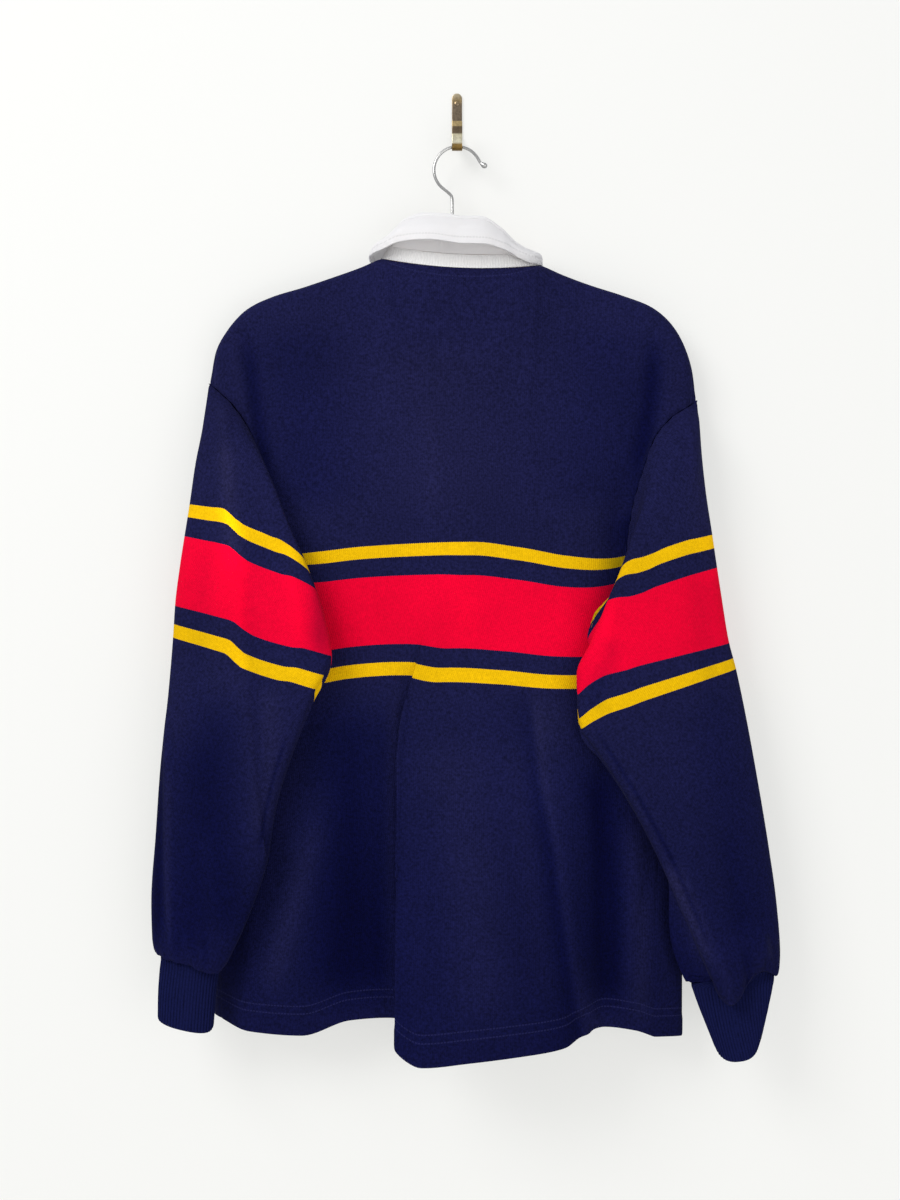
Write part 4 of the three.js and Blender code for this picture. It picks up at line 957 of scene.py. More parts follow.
def sleeve_object(side):
    """A sleeve: its worked-out surface with the seam turned in, creases, gathers at the cuff, the
    underarm seam, and stripe distances."""
    places = np.arange(SLEEVE_COLUMNS) * SLEEVE_SIDES / SLEEVE_COLUMNS
    even = np.linspace(0.018, 0.975, 150)
    shares = np.concatenate([[0, 0.003, 0.007, 0.012], even, [0.982, 0.988, 0.994, 1]])
    k, share = np.meshgrid(places, shares)
    turned = side == "right"
    points = sleeve_points(side, k, share)
    across, depth = flat_tube(sleeve_turns(k, share))
    along = run_lengths(points, 0)
    total = along[-1:]
    away = total - along
    round_way = run_lengths(points, 1, True)[:, :-1]
    under = np.abs(k - ARMPIT_ROW) * total / 60
    extra = seam_dip(along) + seam_dip(under, 0.9, 2.0) + seam_dip(away, 0.8, 2.5)
    extra = extra + puckers(round_way, along, 0.4, 15, 10, 0.8)
    extra = extra + puckers(round_way, away, 0.9, 11, 11, 2.0)
    near = smooth(-0.1, 0.35, depth) * smooth(0, 16, along)
    far = smooth(0.1, 0.6, -depth) * smooth(0, 30, along)
    height = near * crease_height(points, SLEEVE_CREASES[side])
    height = height + far * crease_height(points, SLEEVE_FAR_CREASES[side])
    _, up, seen = under_layer(side, sleeve_turns(k, share), share)
    # Painted shading of the sleeve, with more painted shade on its under layer where that shows
    tone = painted_shading_of(points, SLEEVE_PAINTED_SHADING[side], height) * (1 - UNDER_SHADE * seen)
    points = points + normals_of(points, True, turned) * (extra + height)[..., None]
    points = points + pouch(side, points, depth, 1 - away / total)
    shifts = STRIPE_SHIFT[side]
    upper, lower = shifts["up"](across), shifts.get("low", shifts["up"])(across)
    shift = mix(upper, lower, smooth(0.27, 0.38, share)) * smooth(0, 0.2, depth)
    stripe = (share - SLEEVE_STRIPE_SHARE) * SLEEVE_STRIPED_LENGTH + shift + up
    attributes = {
        "stripe": stripe * MM,
        "hem": away * MM + 1,
        "neck": along * MM + 1,
        "seam": along * MM,
        "tone": tone,
    }
    cloth = bpy.context.scene.shirt_sizes.cloth / MM
    return cloth_object(f"sleeve_{side}_cloth", points, cloth, True, turned, attributes=attributes)


def cuff_object(side):
    """A ribbed cuff: it starts inside the sleeve's end and follows three rings down, with a rib's
    round profile, the size of the sine, repeated along its own girth."""
    sizes = bpy.context.scene.shirt_sizes
    places = np.arange(CUFF_COLUMNS) * SLEEVE_SIDES / CUFF_COLUMNS
    k, row = np.meshgrid(places, np.linspace(0, 1, CUFF_ROWS))
    turned = side == "right"
    edge = cuff_edges[side]
    turns = sleeve_turns(k, np.ones_like(k))
    across, depth = flat_tube(turns)
    top = sleeve_points(side, k, np.full_like(k, 0.995))
    drop = np.where(depth > 0, edge["nearDrop"](row), -edge["farDrop"](row)) * depth
    ring = np.stack([
        mix(edge["outX"](row), edge["inX"](row), across),
        edge["midY"](row) - edge["half"](row) * depth,
        mix(edge["outZ"](row), edge["inZ"](row), across) - drop,
    ], axis=-1)
    points = mix(top, ring, smooth(0, 0.16, row)[..., None])
    points[..., 2] = mix(top[..., 2], ring[..., 2], np.clip(row / 0.08, 0, 1))
    girth = run_lengths(points, 1, True)
    count = round(float(girth[CUFF_ROWS // 2, -1]) / (sizes.rib_pitch / MM))
    share_round = girth[:, :-1] / girth[:, -1:]
    ribs = np.abs(np.sin(np.pi * count * share_round)) ** 0.7
    waist = -1.0 * np.exp(-((row - 0.06) / 0.07) ** 2) - 0.5 * np.exp(-((row - 1) / 0.03) ** 2)
    wave = puckers(girth[:, :-1], (1 - row) * 60, 0.5, 34, 40, 1.1)
    lift = ribs * sizes.rib_raise / MM - 0.25 + waist + wave
    points = points + normals_of(points, True, turned) * lift[..., None]
    return cloth_object(f"cuff_{side}_rib", points, RIB_CLOTH, True, turned, attributes={"rib": ribs})


def neck_loop():
    """The neckline as one line of points, from the placket round the back to the placket again, and
    the smooth path through them by the distance travelled."""
    first, last = NECK_COLUMNS
    left, right = SLIT_COLUMNS
    back, front = top_points("back"), top_points("front")
    middle = (front[left] + front[right]) / 2
    half = np.array([COLLAR_PARTING / 2, 0, 0])
    loop = np.concatenate([
        [middle - half], front[left:first:-1], back[first:last + 1], front[last - 1:right - 1:-1],
        [middle + half],
    ])
    lengths = distances(loop)
    return smooth_path(lengths, loop), lengths[-1]


def collar_frame():
    """How the collar stands along the neckline: "up" runs square to the neckline from its base to the
    fold, "out" is square to both, and "fall" runs from the fold to the leaf's edge."""
    path, total = neck_loop()
    share = np.linspace(0, 1, COLLAR_COLUMNS)
    base = path(share * total)
    around = 1 - np.abs(2 * share - 1)
    window = 9
    kernel = np.hanning(2 * window + 1)
    padded = np.pad(np.gradient(base, axis=0), ((window, window), (0, 0)), mode="edge")
    along = unit(np.stack([np.convolve(padded[:, i], kernel, "valid") for i in range(3)], axis=-1))
    is_left = share < 0.5

    def sided(name):
        """A column of the collar's table, taken for the left side or the right one."""
        left, right = (collar_curves[side + name](around) for side in ("left", "right"))
        return np.where(is_left, left, right)

    lean = collar_curves["lean"](around) * np.tanh((NECK_CENTRE_X - base[:, 0]) / 12)
    up = np.stack([lean, np.zeros_like(lean), sided("Rise")], axis=-1)
    length = np.linalg.norm(up, axis=-1, keepdims=True)
    up = unit(up - along * np.sum(up * along, axis=-1, keepdims=True))
    out = unit(np.cross(along, up))
    spread = np.where(is_left, 1, -1) * collar_curves["spread"](around)
    fall = out * sided("Out")[:, None] - up * sided("Drop")[:, None] + along * spread[:, None]
    return share, base, up, out, length, fall


def neckband_object():
    """The neckband: a strip of tape with fine upright ribs, half the size of the sine, along its run."""
    share, base, up, out, length, _ = collar_frame()
    height = np.minimum(NECKBAND_HEIGHT, NECKBAND_SHARE * length)
    rows = np.linspace(1, 0, 7)
    place = np.linspace(0, 1, NECKBAND_COLUMNS)
    base, up, out, height = (
        np.stack([np.interp(place, share, axis) for axis in values.T], axis=-1)
        for values in (base, up, out, height)
    )
    ribs = 0.5 * np.abs(np.sin(np.pi * distances(base) / NECKBAND_RIB)) ** 0.8 + 0.1
    lift = np.stack([np.where(abs(row - 0.5) < 0.45, ribs, ribs * 0.3) for row in rows])
    points = np.stack([base + up * mix(NECKBAND_GAP, height, row) for row in rows])
    points = points + out * lift[..., None]
    return cloth_object("neckband_tape", points, RIB_CLOTH)


def collar_object():
    """The collar: a stand that rises from the neckband, turns over in a narrow half round and falls
    as a leaf with a slight bow, small waves along its edge and a few soft dents."""
    share, base, up, out, length, fall = collar_frame()
    height = np.minimum(NECKBAND_HEIGHT, NECKBAND_SHARE * length) + 0.45
    stand = np.linspace(0, 1, 14)[:, None, None]
    fold = base + up * length
    start = base + up * height
    stand_points = mix(start, fold, stand)
    bend = np.linspace(0, 1, 13)[1:, None, None]
    turn = fold + out * COLLAR_FOLD * (1 - np.cos(np.pi * bend)) / 2
    turn = turn + up * COLLAR_FOLD * 0.5 * np.sin(np.pi * bend)
    leaf = np.concatenate([np.linspace(0, 0.96, 34)[1:], [0.985, 1]])[:, None, None]
    edge_wave = 0.9 * np.sin(share * 31 + 0.6) + 0.7 * np.sin(share * 57 + 2.0)
    bow = 3 * np.sin(np.pi * leaf) + edge_wave[:, None] * leaf ** 2
    leaf_points = turn[-1] + fall * leaf + out * bow
    points = np.concatenate([stand_points, turn, leaf_points])
    v = np.linspace(0, 1, len(points))[:, None]
    run = distances(base)
    dents = 0
    for place, row, dent, wide, long in COLLAR_DENTS:
        dents = dents + dent * np.exp(-((run / run[-1] - place) / wide) ** 2 - ((v - row) / long) ** 2)
    points = points + normals_of(points, False, True) * dents[..., None]
    last = run_lengths(points, 0)
    from_edge = last[-1:] - last
    ends = np.minimum(run, run[-1] - run) + np.zeros_like(from_edge)
    attributes = {
        "edge": np.minimum(from_edge, ends) * MM,
        "run": np.broadcast_to(run * MM, from_edge.shape),
    }
    return cloth_object("collar_twill", points, TWILL_CLOTH, turned=True, attributes=attributes)


def placket_object(name, off):
    """A strip of the placket: the front panel's points, moved straight out or in."""
    columns = np.linspace(*PLACKET_COLUMNS, 25)
    shares = np.linspace(*PLACKET_SHARES, 110)
    column, share = np.meshgrid(columns, shares)
    points = panel_point("front", column, share)
    points[..., 1] += off
    points[..., 1] += np.sign(off) * 0.25 * np.sin(share * 80 + column * 0.7)
    from_side = np.minimum(*(np.linalg.norm(points - points[:, [i]], axis=-1) for i in (0, -1)))
    from_end = np.minimum(*(np.linalg.norm(points - points[[i]], axis=-1) for i in (0, -1)))
    run = run_lengths(points, 0)
    attributes = {"edge": np.minimum(from_side, from_end) * MM, "run": run * MM}
    return cloth_object(name, points, TWILL_CLOTH, turned=True, attributes=attributes)


def button_centre(share):
    """Where a button sits: on the middle of the outer strip."""
    place = panel_point("front", np.array([13.0]), np.array([share]))[0]
    place[1] += PLACKET_OFF + 0.35
    return place


def button_object(index, share):
    """A round button with a raised rim, a dished middle and four sewing holes as soft pits."""
    radius = np.concatenate([[0], np.linspace(0.04, 1, 26), [1, 1, 0.94, 0]])[:, None]
    profile = np.interp(np.linspace(0, 1, 27), *BUTTON_PROFILE)
    height = np.concatenate([profile, [0.3, 0.05, 0, 0]])[:, None]
    angle = np.linspace(0, 2 * np.pi, 64, endpoint=False)[None]
    x = radius * BUTTON_RADIUS * np.cos(angle)
    z = radius * BUTTON_RADIUS * np.sin(angle)
    depth = height * BUTTON_THICKNESS + np.zeros_like(angle)
    on_top = (np.arange(len(radius)) < 27)[:, None]
    for hole_x in (BUTTON_HOLE, -BUTTON_HOLE):
        for hole_z in (BUTTON_HOLE, -BUTTON_HOLE):
            near = ((x - hole_x) ** 2 + (z - hole_z) ** 2) / 0.55
            depth = depth - on_top * 1.5 * np.exp(-near ** 2)
    points = np.stack([x, depth, z], axis=-1) + button_centre(share)
    return make_object(f"button_{index}_rubber", points, round_quads(*x.shape), sharp=70, welded=True)


def tube(name, path, radii, sides=20):
    """A round bar along a path in mm: circles square to the path, capped by a point at either end."""
    path = np.asarray(path, float)
    way = unit(np.gradient(path, axis=0))
    first = np.cross(way, [0, 1, 0])
    weak = np.linalg.norm(first, axis=-1) < 0.2
    first[weak] = np.cross(way[weak], [1, 0, 0])
    first = unit(first)
    second = np.cross(way, first)
    angle = np.linspace(0, 2 * np.pi, sides, endpoint=False)[None, :, None]
    around = first[:, None] * np.cos(angle) + second[:, None] * np.sin(angle)
    rings = path[:, None] + around * np.broadcast_to(radii, len(path))[:, None, None]
    count = len(path)
    end = (count - 1) * sides
    middle = count * sides
    caps = []
    for c in range(sides):
        after = (c + 1) % sides
        caps += [(after, c, middle), (end + c, end + after, middle + 1)]
    points = np.concatenate([rings.reshape(-1, 3), path[[0, -1]]])
    return make_object(name, points, round_quads(count, sides) + caps, sharp=None, welded=True)


def thread_objects(index, share):
    """Sewing thread across a button: two short stitches, each a low arch between two holes."""
    places = np.linspace(-1, 1, 13)
    height = BUTTON_THICKNESS * 0.55 + 0.95 * (1 - places ** 2)
    for side, letter in ((-BUTTON_HOLE, "a"), (BUTTON_HOLE, "b")):
        arch = np.stack([np.full_like(places, side), height, places * BUTTON_HOLE], axis=-1)
        yield tube(f"thread_{index}_{letter}", arch + button_centre(share), THREAD_RADIUS, 8)


def hook_wire():
    """The wire hook's centre line and radii: a ball tip, the round of the hook and the stem."""
    angles = np.radians(np.linspace(*HOOK_ARC, 60))
    arc = HOOK_CENTRE + HOOK_RADIUS * np.stack([np.cos(angles), np.sin(angles)], axis=-1)
    line = np.concatenate([HOOK_TIP, arc, HOOK_STEM])
    lengths = distances(line)
    place = np.concatenate([np.linspace(0, 8, 26), np.linspace(8.6, lengths[-1], 190)])
    x, z = (smooth_curve(lengths, axis)(place) for axis in line.T)
    radii = smooth_curve(*np.array(TIP_RADII).T)(np.minimum(place, 7))
    return np.stack([x, np.full_like(x, RIDGE_Y), z], axis=-1), radii


def strip_object():
    """The brass strip: its bent line carried through four rounded corners, with a rounded head."""
    places = distances(np.stack([STRIP["out"], STRIP["z"]], axis=-1))
    fine = np.unique(np.concatenate([np.linspace(0, places[-1], 150), places]))
    out, z, width = (smooth_curve(places, STRIP[axis])(fine) for axis in ("out", "z", "width"))
    head = np.sqrt(np.clip(1 - ((5.2 - fine) / 5.4) ** 2, 0.02, 1)) * 10
    width = np.where(fine < 6, head, width)
    past = fine - places[-1] + 1.2
    width = np.where(past > 0, width - 0.9 * (past / 1.2) ** 2, width)
    way = unit(np.stack([np.gradient(-out), np.gradient(z)], axis=-1))
    angle = np.linspace(0, 2 * np.pi, 32, endpoint=False)
    corner_x = np.sign(np.cos(angle)) * np.abs(np.cos(angle)) ** 0.16
    corner_t = np.sign(np.sin(angle)) * np.abs(np.sin(angle)) ** 0.22
    half = STRIP_THICKNESS / 2
    points = np.stack(np.broadcast_arrays(
        corner_x[None] * width[:, None] / 2,
        -out[:, None] - half - way[:, 1:] * corner_t[None] * half,
        z[:, None] + way[:, :1] * corner_t[None] * half,
    ), axis=-1)
    count, sides = points.shape[:2]
    caps = [list(range(sides)), list(range((count - 1) * sides, count * sides))]
    faces = round_quads(count, sides) + caps
    return make_object("wall_hook_strip", points, faces, sharp=60, welded=True)


def nail_object():
    """The nail's domed head."""
    rise = np.linspace(0, 1, 14)
    radius = np.concatenate([rise, [1, 0.6, 0]])[:, None] * NAIL_RADIUS
    dome = np.sqrt(np.clip(1 - (rise * 0.9) ** 2, 0, 1)) * NAIL_HEIGHT
    height = np.concatenate([dome, [0, 0, 0]])[:, None]
    angle = np.linspace(0, 2 * np.pi, 32, endpoint=False)[None]
    depth = -STRIP_THICKNESS - NAIL_GAP - height + 0 * angle
    points = np.stack([radius * np.cos(angle), depth, radius * np.sin(angle)], axis=-1)
    return make_object("nail_head", points, round_quads(*depth.shape), sharp=60, welded=True)


def set_inputs(made, inputs):
    """Gives a node's inputs, by number or name, their values, or links other nodes' sockets to them."""
    for key, value in inputs.items():
        if isinstance(value, bpy.types.NodeSocket):
            made.id_data.links.new(value, made.inputs[key])
        else:
            made.inputs[key].default_value = value


def add(tree, kind, *inputs, named=None, output=0, **settings):
    """Adds a shader node with its settings and inputs, in order or by name, and gives an output."""
    made = tree.nodes.new("ShaderNode" + kind)
    for key, value in settings.items():
        setattr(made, key, value)
    set_inputs(made, {**dict(enumerate(inputs)), **(named or {})})
    return made.outputs[output]


def start_material(name):
    """An empty material, the function that adds nodes to it, and its surface shader."""
    material = bpy.data.materials.new(name)
    material.use_nodes = True
    tree = material.node_tree
    return material, partial(add, tree), tree.nodes["Principled BSDF"]


def rgba(value):
    """A linear colour with full alpha."""
    return (*value, 1.0)


def multiply(node, *values):
    """The product of values."""
    total, *others = values
    for value in others:
        total = node("Math", total, value, operation="MULTIPLY")
    return total


def weighted_sum(node, *terms, start=None):
    """The sum of values, each times its weight, and of a value to start from."""
    total = start
    for value, weight in terms:
        part = multiply(node, value, weight)
        total = part if total is None else node("Math", total, part, operation="ADD")
    return total


def waves(node, along, pitch):
    """Even waves along a measure, a pitch apart."""
    return node("Math", multiply(node, along, 2 * math.pi / pitch), operation="SINE")


def scaled(node, tone, share):
    """A colour made darker or paler by a share."""
    return node("VectorMath", tone, named={"Scale": share}, operation="SCALE")


def fill_ramp(ramp, stops):
    """Puts colours at their places on a colour ramp."""
    while len(ramp.elements) < len(stops):
        ramp.elements.new(0.99)
    for element, (place, tone) in zip(ramp.elements, stops):
        element.position = place
        element.color = tone


def stitch_mask(node, distance, run, rows, length):
    """Where stitches show: within half a thread of each row's distance, for most of each stitch."""
    stitches = node("Math", run, length, operation="DIVIDE")
    dash = node("MapRange", node("Math", stitches, operation="FRACT"), 0.70, 0.80, 1.0, 0.0)
    total = None
    for row in rows:
        off = node("Math", distance, row * MM, operation="SUBTRACT")
        away = node("Math", off, operation="ABSOLUTE")
        line = node("MapRange", away, 0.45 * MM, 0.85 * MM, 1.0, 0.0)
        total = line if total is None else node("Math", total, line, operation="MAXIMUM")
    return multiply(node, total, dash)


def stripe_ramp(node, stripe, wale):
    """The jersey's ground and stripes by the stripe distance, with edges that jump from wale to wale.
    The ramp's alpha is one on the ground colour."""
    colours = bpy.context.scene.shirt_colours
    jagged = weighted_sum(node, (wale, 0.22 * MM), start=stripe)
    shifted = node("Math", jagged, STRIPE_ONSET * MM, operation="ADD")
    share = node("Math", shifted, STRIPE_BANDS_END * MM, operation="DIVIDE")
    ramp = node("ValToRGB", share).node
    ramp.color_ramp.interpolation = "CONSTANT"
    fill_ramp(ramp.color_ramp, [
        (start / STRIPE_BANDS_END, (*getattr(colours, name), 1.0 if name == "navy" else 0.0))
        for start, name in STRIPE_BANDS
    ])
    return ramp.outputs


def jersey_material():
    """Cotton jersey, knitted in stripes: a matt ground with fine upright wales, a short pale fuzz that
    sheens at its edges, slight fading, painted shade and painted highlight from the tone attribute, and
    the hem's twin rows of thread."""
    colours, sizes = bpy.context.scene.shirt_colours, bpy.context.scene.shirt_sizes
    material, node, shader = start_material("cotton_jersey")
    uv = node("UVMap", uv_map="UVMap")
    across, down = (node("SeparateXYZ", uv, output=axis) for axis in (0, 1))
    stripe, hem, neck, painted_shade_amount = (
        node("Attribute", output="Fac", attribute_name=name) for name in ("stripe", "hem", "neck", "tone")
    )
    wale = waves(node, across, sizes.wale)
    course = waves(node, down, sizes.wale * COURSE_SHARE)
    ramp = stripe_ramp(node, stripe, wale)
    place = node("TexCoord", output="Object")
    cloudy = node("TexNoise", named={"Vector": place, "Scale": 9.0, "Detail": 4.0})
    heather = node("TexNoise", named={"Vector": place, "Scale": 430.0, "Detail": 4.0})
    fade = node("MapRange", cloudy, 0.3, 0.7, 0.9, 1.12)
    soft = node("MapRange", heather, 0.3, 0.7, 0.9, 1.1)
    strong = node("MapRange", heather, 0.3, 0.7, 0.62, 1.42)
    fleck = node("Mix", ramp["Alpha"], named={2: soft, 3: strong})
    # A faint painted shade between the wales, where the bump is lower
    knit = weighted_sum(node, (wale, 0.07), start=1.0)
    # Painted shading: the tone attribute scales the stripes' colour, red and green more than blue, as painted
    # shade and highlight
    deep = node("CombineXYZ", *(node("Math", painted_shade_amount, power, operation="POWER") for power in PAINTED_SHADE_POWERS))
    stripes_in_painted_shade = node("VectorMath", ramp[0], deep, operation="MULTIPLY")
    toned = scaled(node, stripes_in_painted_shade, multiply(node, fade, fleck, knit))
    hem_lines = stitch_mask(node, hem, across, HEM_STITCH_ROWS, sizes.stitch)
    neck_line = stitch_mask(node, neck, across, NECK_STITCH_ROWS, sizes.stitch)
    sewn = node("Math", hem_lines, neck_line, operation="MAXIMUM")
    thread = rgba(tuple(min(1, value * 2.2 + 0.006) for value in colours.navy))
    mixed = node("Mix", multiply(node, sewn, 0.4), named={6: toned, 7: thread}, output=2, data_type="RGBA")
    height = weighted_sum(node, (wale, 0.5), (course, 0.28), (heather, 1.2), (sewn, 2.4))
    bump = node("Bump", named={"Height": height, "Strength": 0.5, "Distance": 0.25 * MM})
    set_inputs(shader, {"Base Color": mixed, "Normal": bump, "Roughness": 0.92, **KNIT_GLOSS})
    return material


def rib_material():
    """Rib knit of the same cotton: painted shade in the grooves and painted highlight on the ribs, with a
    small even knit.
    """
    colours = bpy.context.scene.shirt_colours
    material, node, shader = start_material("cotton_rib_knit")
    down = node("SeparateXYZ", node("UVMap", uv_map="UVMap"), output=1)
    course = waves(node, down, RIB_COURSE * MM)
    place = node("TexCoord", output="Object")
    fleck = node("TexNoise", named={"Vector": place, "Scale": 700.0, "Detail": 2.0})
    tone = node("MapRange", fleck, 0.25, 0.75, 0.75, 1.25)
    rib = node("Attribute", output="Fac", attribute_name="rib")
    # Painted shade in the rib's grooves and painted highlight on its ridges
    groove = node("MapRange", rib, 0.1, 0.8, 0.5, 1.3)
    toned = scaled(node, tuple(colours.rib), multiply(node, tone, groove))
    height = weighted_sum(node, (course, 0.4), (fleck, 1.0))
    bump = node("Bump", named={"Height": height, "Strength": 0.5, "Distance": 0.25 * MM})
    set_inputs(shader, {"Base Color": toned, "Normal": bump, "Roughness": 0.93, **KNIT_GLOSS})
    return material


def twill_material():
    """White cotton twill: fine diagonal lines drawn coarse enough to show, faint yellowing in patches,
    and a row of stitches inside the edge."""
    colours, sizes = bpy.context.scene.shirt_colours, bpy.context.scene.shirt_sizes
    material, node, shader = start_material("cotton_twill")
    uv = node("UVMap", uv_map="UVMap")
    across, down = (node("SeparateXYZ", uv, output=axis) for axis in (0, 1))
    lines = waves(node, weighted_sum(node, (down, 0.8), start=across), TWILL_PITCH * MM)
    edge, run = (node("Attribute", output="Fac", attribute_name=name) for name in ("edge", "run"))
    sewn = stitch_mask(node, edge, run, TWILL_STITCH_ROWS, sizes.stitch)
    place = node("TexCoord", output="Object")
    cloudy = node("TexNoise", named={"Vector": place, "Scale": 22.0, "Detail": 4.0})
    yellowed = rgba(tuple(np.array(colours.white) * (0.97, 0.955, 0.93)))
    tint = node("Mix", cloudy, named={6: rgba(colours.white), 7: yellowed}, output=2, data_type="RGBA")
    shade = weighted_sum(node, (sewn, -0.14), (lines, 0.02), start=1.0)
    height = weighted_sum(node, (lines, 0.5), (sewn, -2.2), (cloudy, 3.0))
    set_inputs(shader, {
        "Base Color": scaled(node, tint, shade),
        "Normal": node("Bump", named={"Height": height, "Strength": 0.45, "Distance": 0.25 * MM}),
        "Roughness": 0.85,
        "Specular IOR Level": 0.2,
        "Sheen Weight": 0.05,
        "Subsurface Weight": 0.7,
        "Subsurface Radius": (1, 1, 1),
        "Subsurface Scale": 5 * MM,
    })
    return material


def tape_material():
    """Ribbed cotton tape: white, with painted shade in the grooves of a fine upright rib."""
    colours = bpy.context.scene.shirt_colours
    material, node, shader = start_material("cotton_tape")
    down = node("SeparateXYZ", node("UVMap", uv_map="UVMap"), output=1)
    weft = waves(node, down, TAPE_WEFT * MM)
    # Painted shade in the grooves of the rib
    shade = weighted_sum(node, (weft, 0.05), start=0.95)
    set_inputs(shader, {
        "Base Color": scaled(node, tuple(colours.tape), shade),
        "Normal": node("Bump", named={"Height": weft, "Strength": 0.3, "Distance": 0.2 * MM}),
        "Roughness": 0.88,
    })
    return material


def plain_material(name, tone, roughness, grain, depth, metallic=0.0):
    """A moulded or drawn surface: an even colour clouded by a fine grain of the stated scale."""
    material, node, shader = start_material(name)
    place = node("TexCoord", output="Object")
    cloud = node("TexNoise", named={"Vector": place, "Scale": grain, "Detail": 5.0})
    shade = node("MapRange", cloud, 0.25, 0.75, 0.82, 1.1)
    set_inputs(shader, {
        "Base Color": scaled(node, tuple(tone), shade),
        "Roughness": node("MapRange", cloud, 0.2, 0.8, roughness * 0.8, roughness * 1.3),
        "Normal": node("Bump", named={"Height": cloud, "Strength": depth, "Distance": 0.2 * MM}),
        "Metallic": metallic,
    })
    return material


def brass_material():
    """Dulled brass strip, rolled and bent: painted reflections as bands of dark brown and pale metal
    across it by height, clouded by fine rubbing, with a soft gloss."""
    brass = bpy.context.scene.shirt_colours.brass
    material = plain_material("dulled_brass", brass, 0.3, 240.0, 0.12, 1.0)
    node = partial(add, material.node_tree)
    place = node("TexCoord", output="Object")
    # Painted reflections: the colour bands by height stand in for what the bent strip reflects
    low, high = BRASS_PAINTED_REFLECTIONS[0][0] * MM, BRASS_PAINTED_REFLECTIONS[-1][0] * MM
    ramp = node("ValToRGB", node("MapRange", node("SeparateXYZ", place, output=2), low, high))
    bands = [((z * MM - low) / (high - low), rgba(to_linear(tone))) for z, tone in BRASS_PAINTED_REFLECTIONS]
    fill_ramp(ramp.node.color_ramp, bands)
    cloud = node("TexNoise", named={"Vector": place, "Scale": 500.0, "Detail": 3.0})
    painted_reflection_and_rubbing = scaled(node, ramp, node("MapRange", cloud, 0.3, 0.7, 0.8, 1.15))
    set_inputs(material.node_tree.nodes["Principled BSDF"], {"Base Color": painted_reflection_and_rubbing})
    return material


def wood_material():
    """Varnished beech: grain lines along the bar drawn coarse enough to show, with short dark flecks."""
    wood = bpy.context.scene.shirt_colours.wood
    material, node, shader = start_material("varnished_beech")
    place = node("TexCoord", output="Object")
    along = node("Mapping", named={"Vector": place, "Scale": (0.08, 1.0, 1.0)})
    grain = node("TexNoise", named={"Vector": along, "Scale": 250.0, "Detail": 5.0})
    fleck = node("TexNoise", named={"Vector": along, "Scale": 900.0, "Detail": 2.0})
    share = weighted_sum(node, (grain, 0.8), (fleck, 0.3))
    dark = rgba(tuple(np.array(wood) * (0.62, 0.52, 0.42)))
    set_inputs(shader, {
        "Base Color": node("Mix", share, named={6: dark, 7: rgba(wood)}, output=2, data_type="RGBA"),
        "Normal": node("Bump", named={"Height": grain, "Strength": 0.2, "Distance": 0.2 * MM}),
        "Roughness": 0.42,
        "Coat Weight": 0.3,
    })
    return material


def give(made, material, slot, *nodes, flat=None, area=None):
    """Finishes a piece: its material, its body and the nodes it stands for. Its slot and its flat size are
    not used.
    """
    made.data.materials.append(material)
    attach(made, "root")
    if nodes:
        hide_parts(*nodes)
    return made


def material_named(name, build):
    """The material of that name, made on its first use."""
    return bpy.data.materials.get(name) or build()


class ShirtBody(bpy.types.Operator):
    """Builds the back and front of the shirt"""

    bl_idname = "shirt.body"
    bl_label = "Back and front"

    def execute(self, context):
        jersey = material_named("cotton_jersey", jersey_material)
        give(panel_object("back"), jersey, "jersey", "back_panel", flat=(0.52, 0.76), area=0.36)
        give(panel_object("front"), jersey, "jersey", "front_panel", flat=(0.52, 0.76), area=0.34)
        return {"FINISHED"}


class ShirtSleeves(bpy.types.Operator):
    """Builds both sleeves and their ribbed cuffs"""

    bl_idname = "shirt.sleeves"
    bl_label = "Sleeves and cuffs"

    def execute(self, context):
        jersey = material_named("cotton_jersey", jersey_material)
        rib = material_named("cotton_rib_knit", rib_material)
        for side in ("left", "right"):
            give(sleeve_object(side), jersey, "jersey", "sleeve_" + side, flat=(0.36, 0.56), area=0.16)
            give(cuff_object(side), rib, "rib", "cuff_" + side, flat=(0.16, 0.072))
        return {"FINISHED"}


class ShirtCollar(bpy.types.Operator):
    """Builds the neckband and the collar"""

    bl_idname = "shirt.collar"
    bl_label = "Neckband and collar"

    def execute(self, context):
        tape = material_named("cotton_tape", tape_material)
        twill = material_named("cotton_twill", twill_material)
        give(neckband_object(), tape, "white_rib", "neckband", flat=(0.45, 0.012))
        give(collar_object(), twill, "twill", "collar", flat=(0.47, 0.075), area=0.03)
        return {"FINISHED"}


class ShirtPlacket(bpy.types.Operator):
    """Builds the placket's two strips and the buttons with their thread"""

    bl_idname = "shirt.placket"
    bl_label = "Placket and buttons"

    def execute(self, context):
        twill = material_named("cotton_twill", twill_material)
        rubber = plain_material("moulded_rubber", context.scene.shirt_colours.button, 0.55, 300.0, 0.1)
        for node, off in (("placket_over", PLACKET_OFF), ("placket_under", -PLACKET_OFF)):
            give(placket_object(node + "_twill", off), twill, "twill", node, flat=(0.036, 0.17))
        tape = material_named("cotton_tape", tape_material)
        for index, share in enumerate(BUTTON_SHARES, 1):
            give(button_object(index, share), rubber, "button_rubber", f"button_{index}")
            for part in thread_objects(index, share):
                give(part, tape, "twill")
        return {"FINISHED"}


class ShirtHooks(bpy.types.Operator):
    """Builds the wire hook, the wall hook and its nail, and finishes the hanger's bar"""

    bl_idname = "shirt.hooks"
    bl_label = "Hanger and wall hook"

    def execute(self, context):
        steel = plain_material("bright_steel_wire", context.scene.shirt_colours.steel, 0.26, 160.0, 0.05, 1.0)
        brass = brass_material()
        path, radii = hook_wire()
        give(tube("hanger_hook_wire", path, radii, 24), steel, "steel_wire", "hanger_hook")
        give(strip_object(), brass, "brass", "wall_hook")
        give(nail_object(), brass, "brass", "wall_hook_nail")
        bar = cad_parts["hanger_body"]
        bar.data.materials.clear()
        bar.data.materials.append(wood_material())
        return {"FINISHED"}


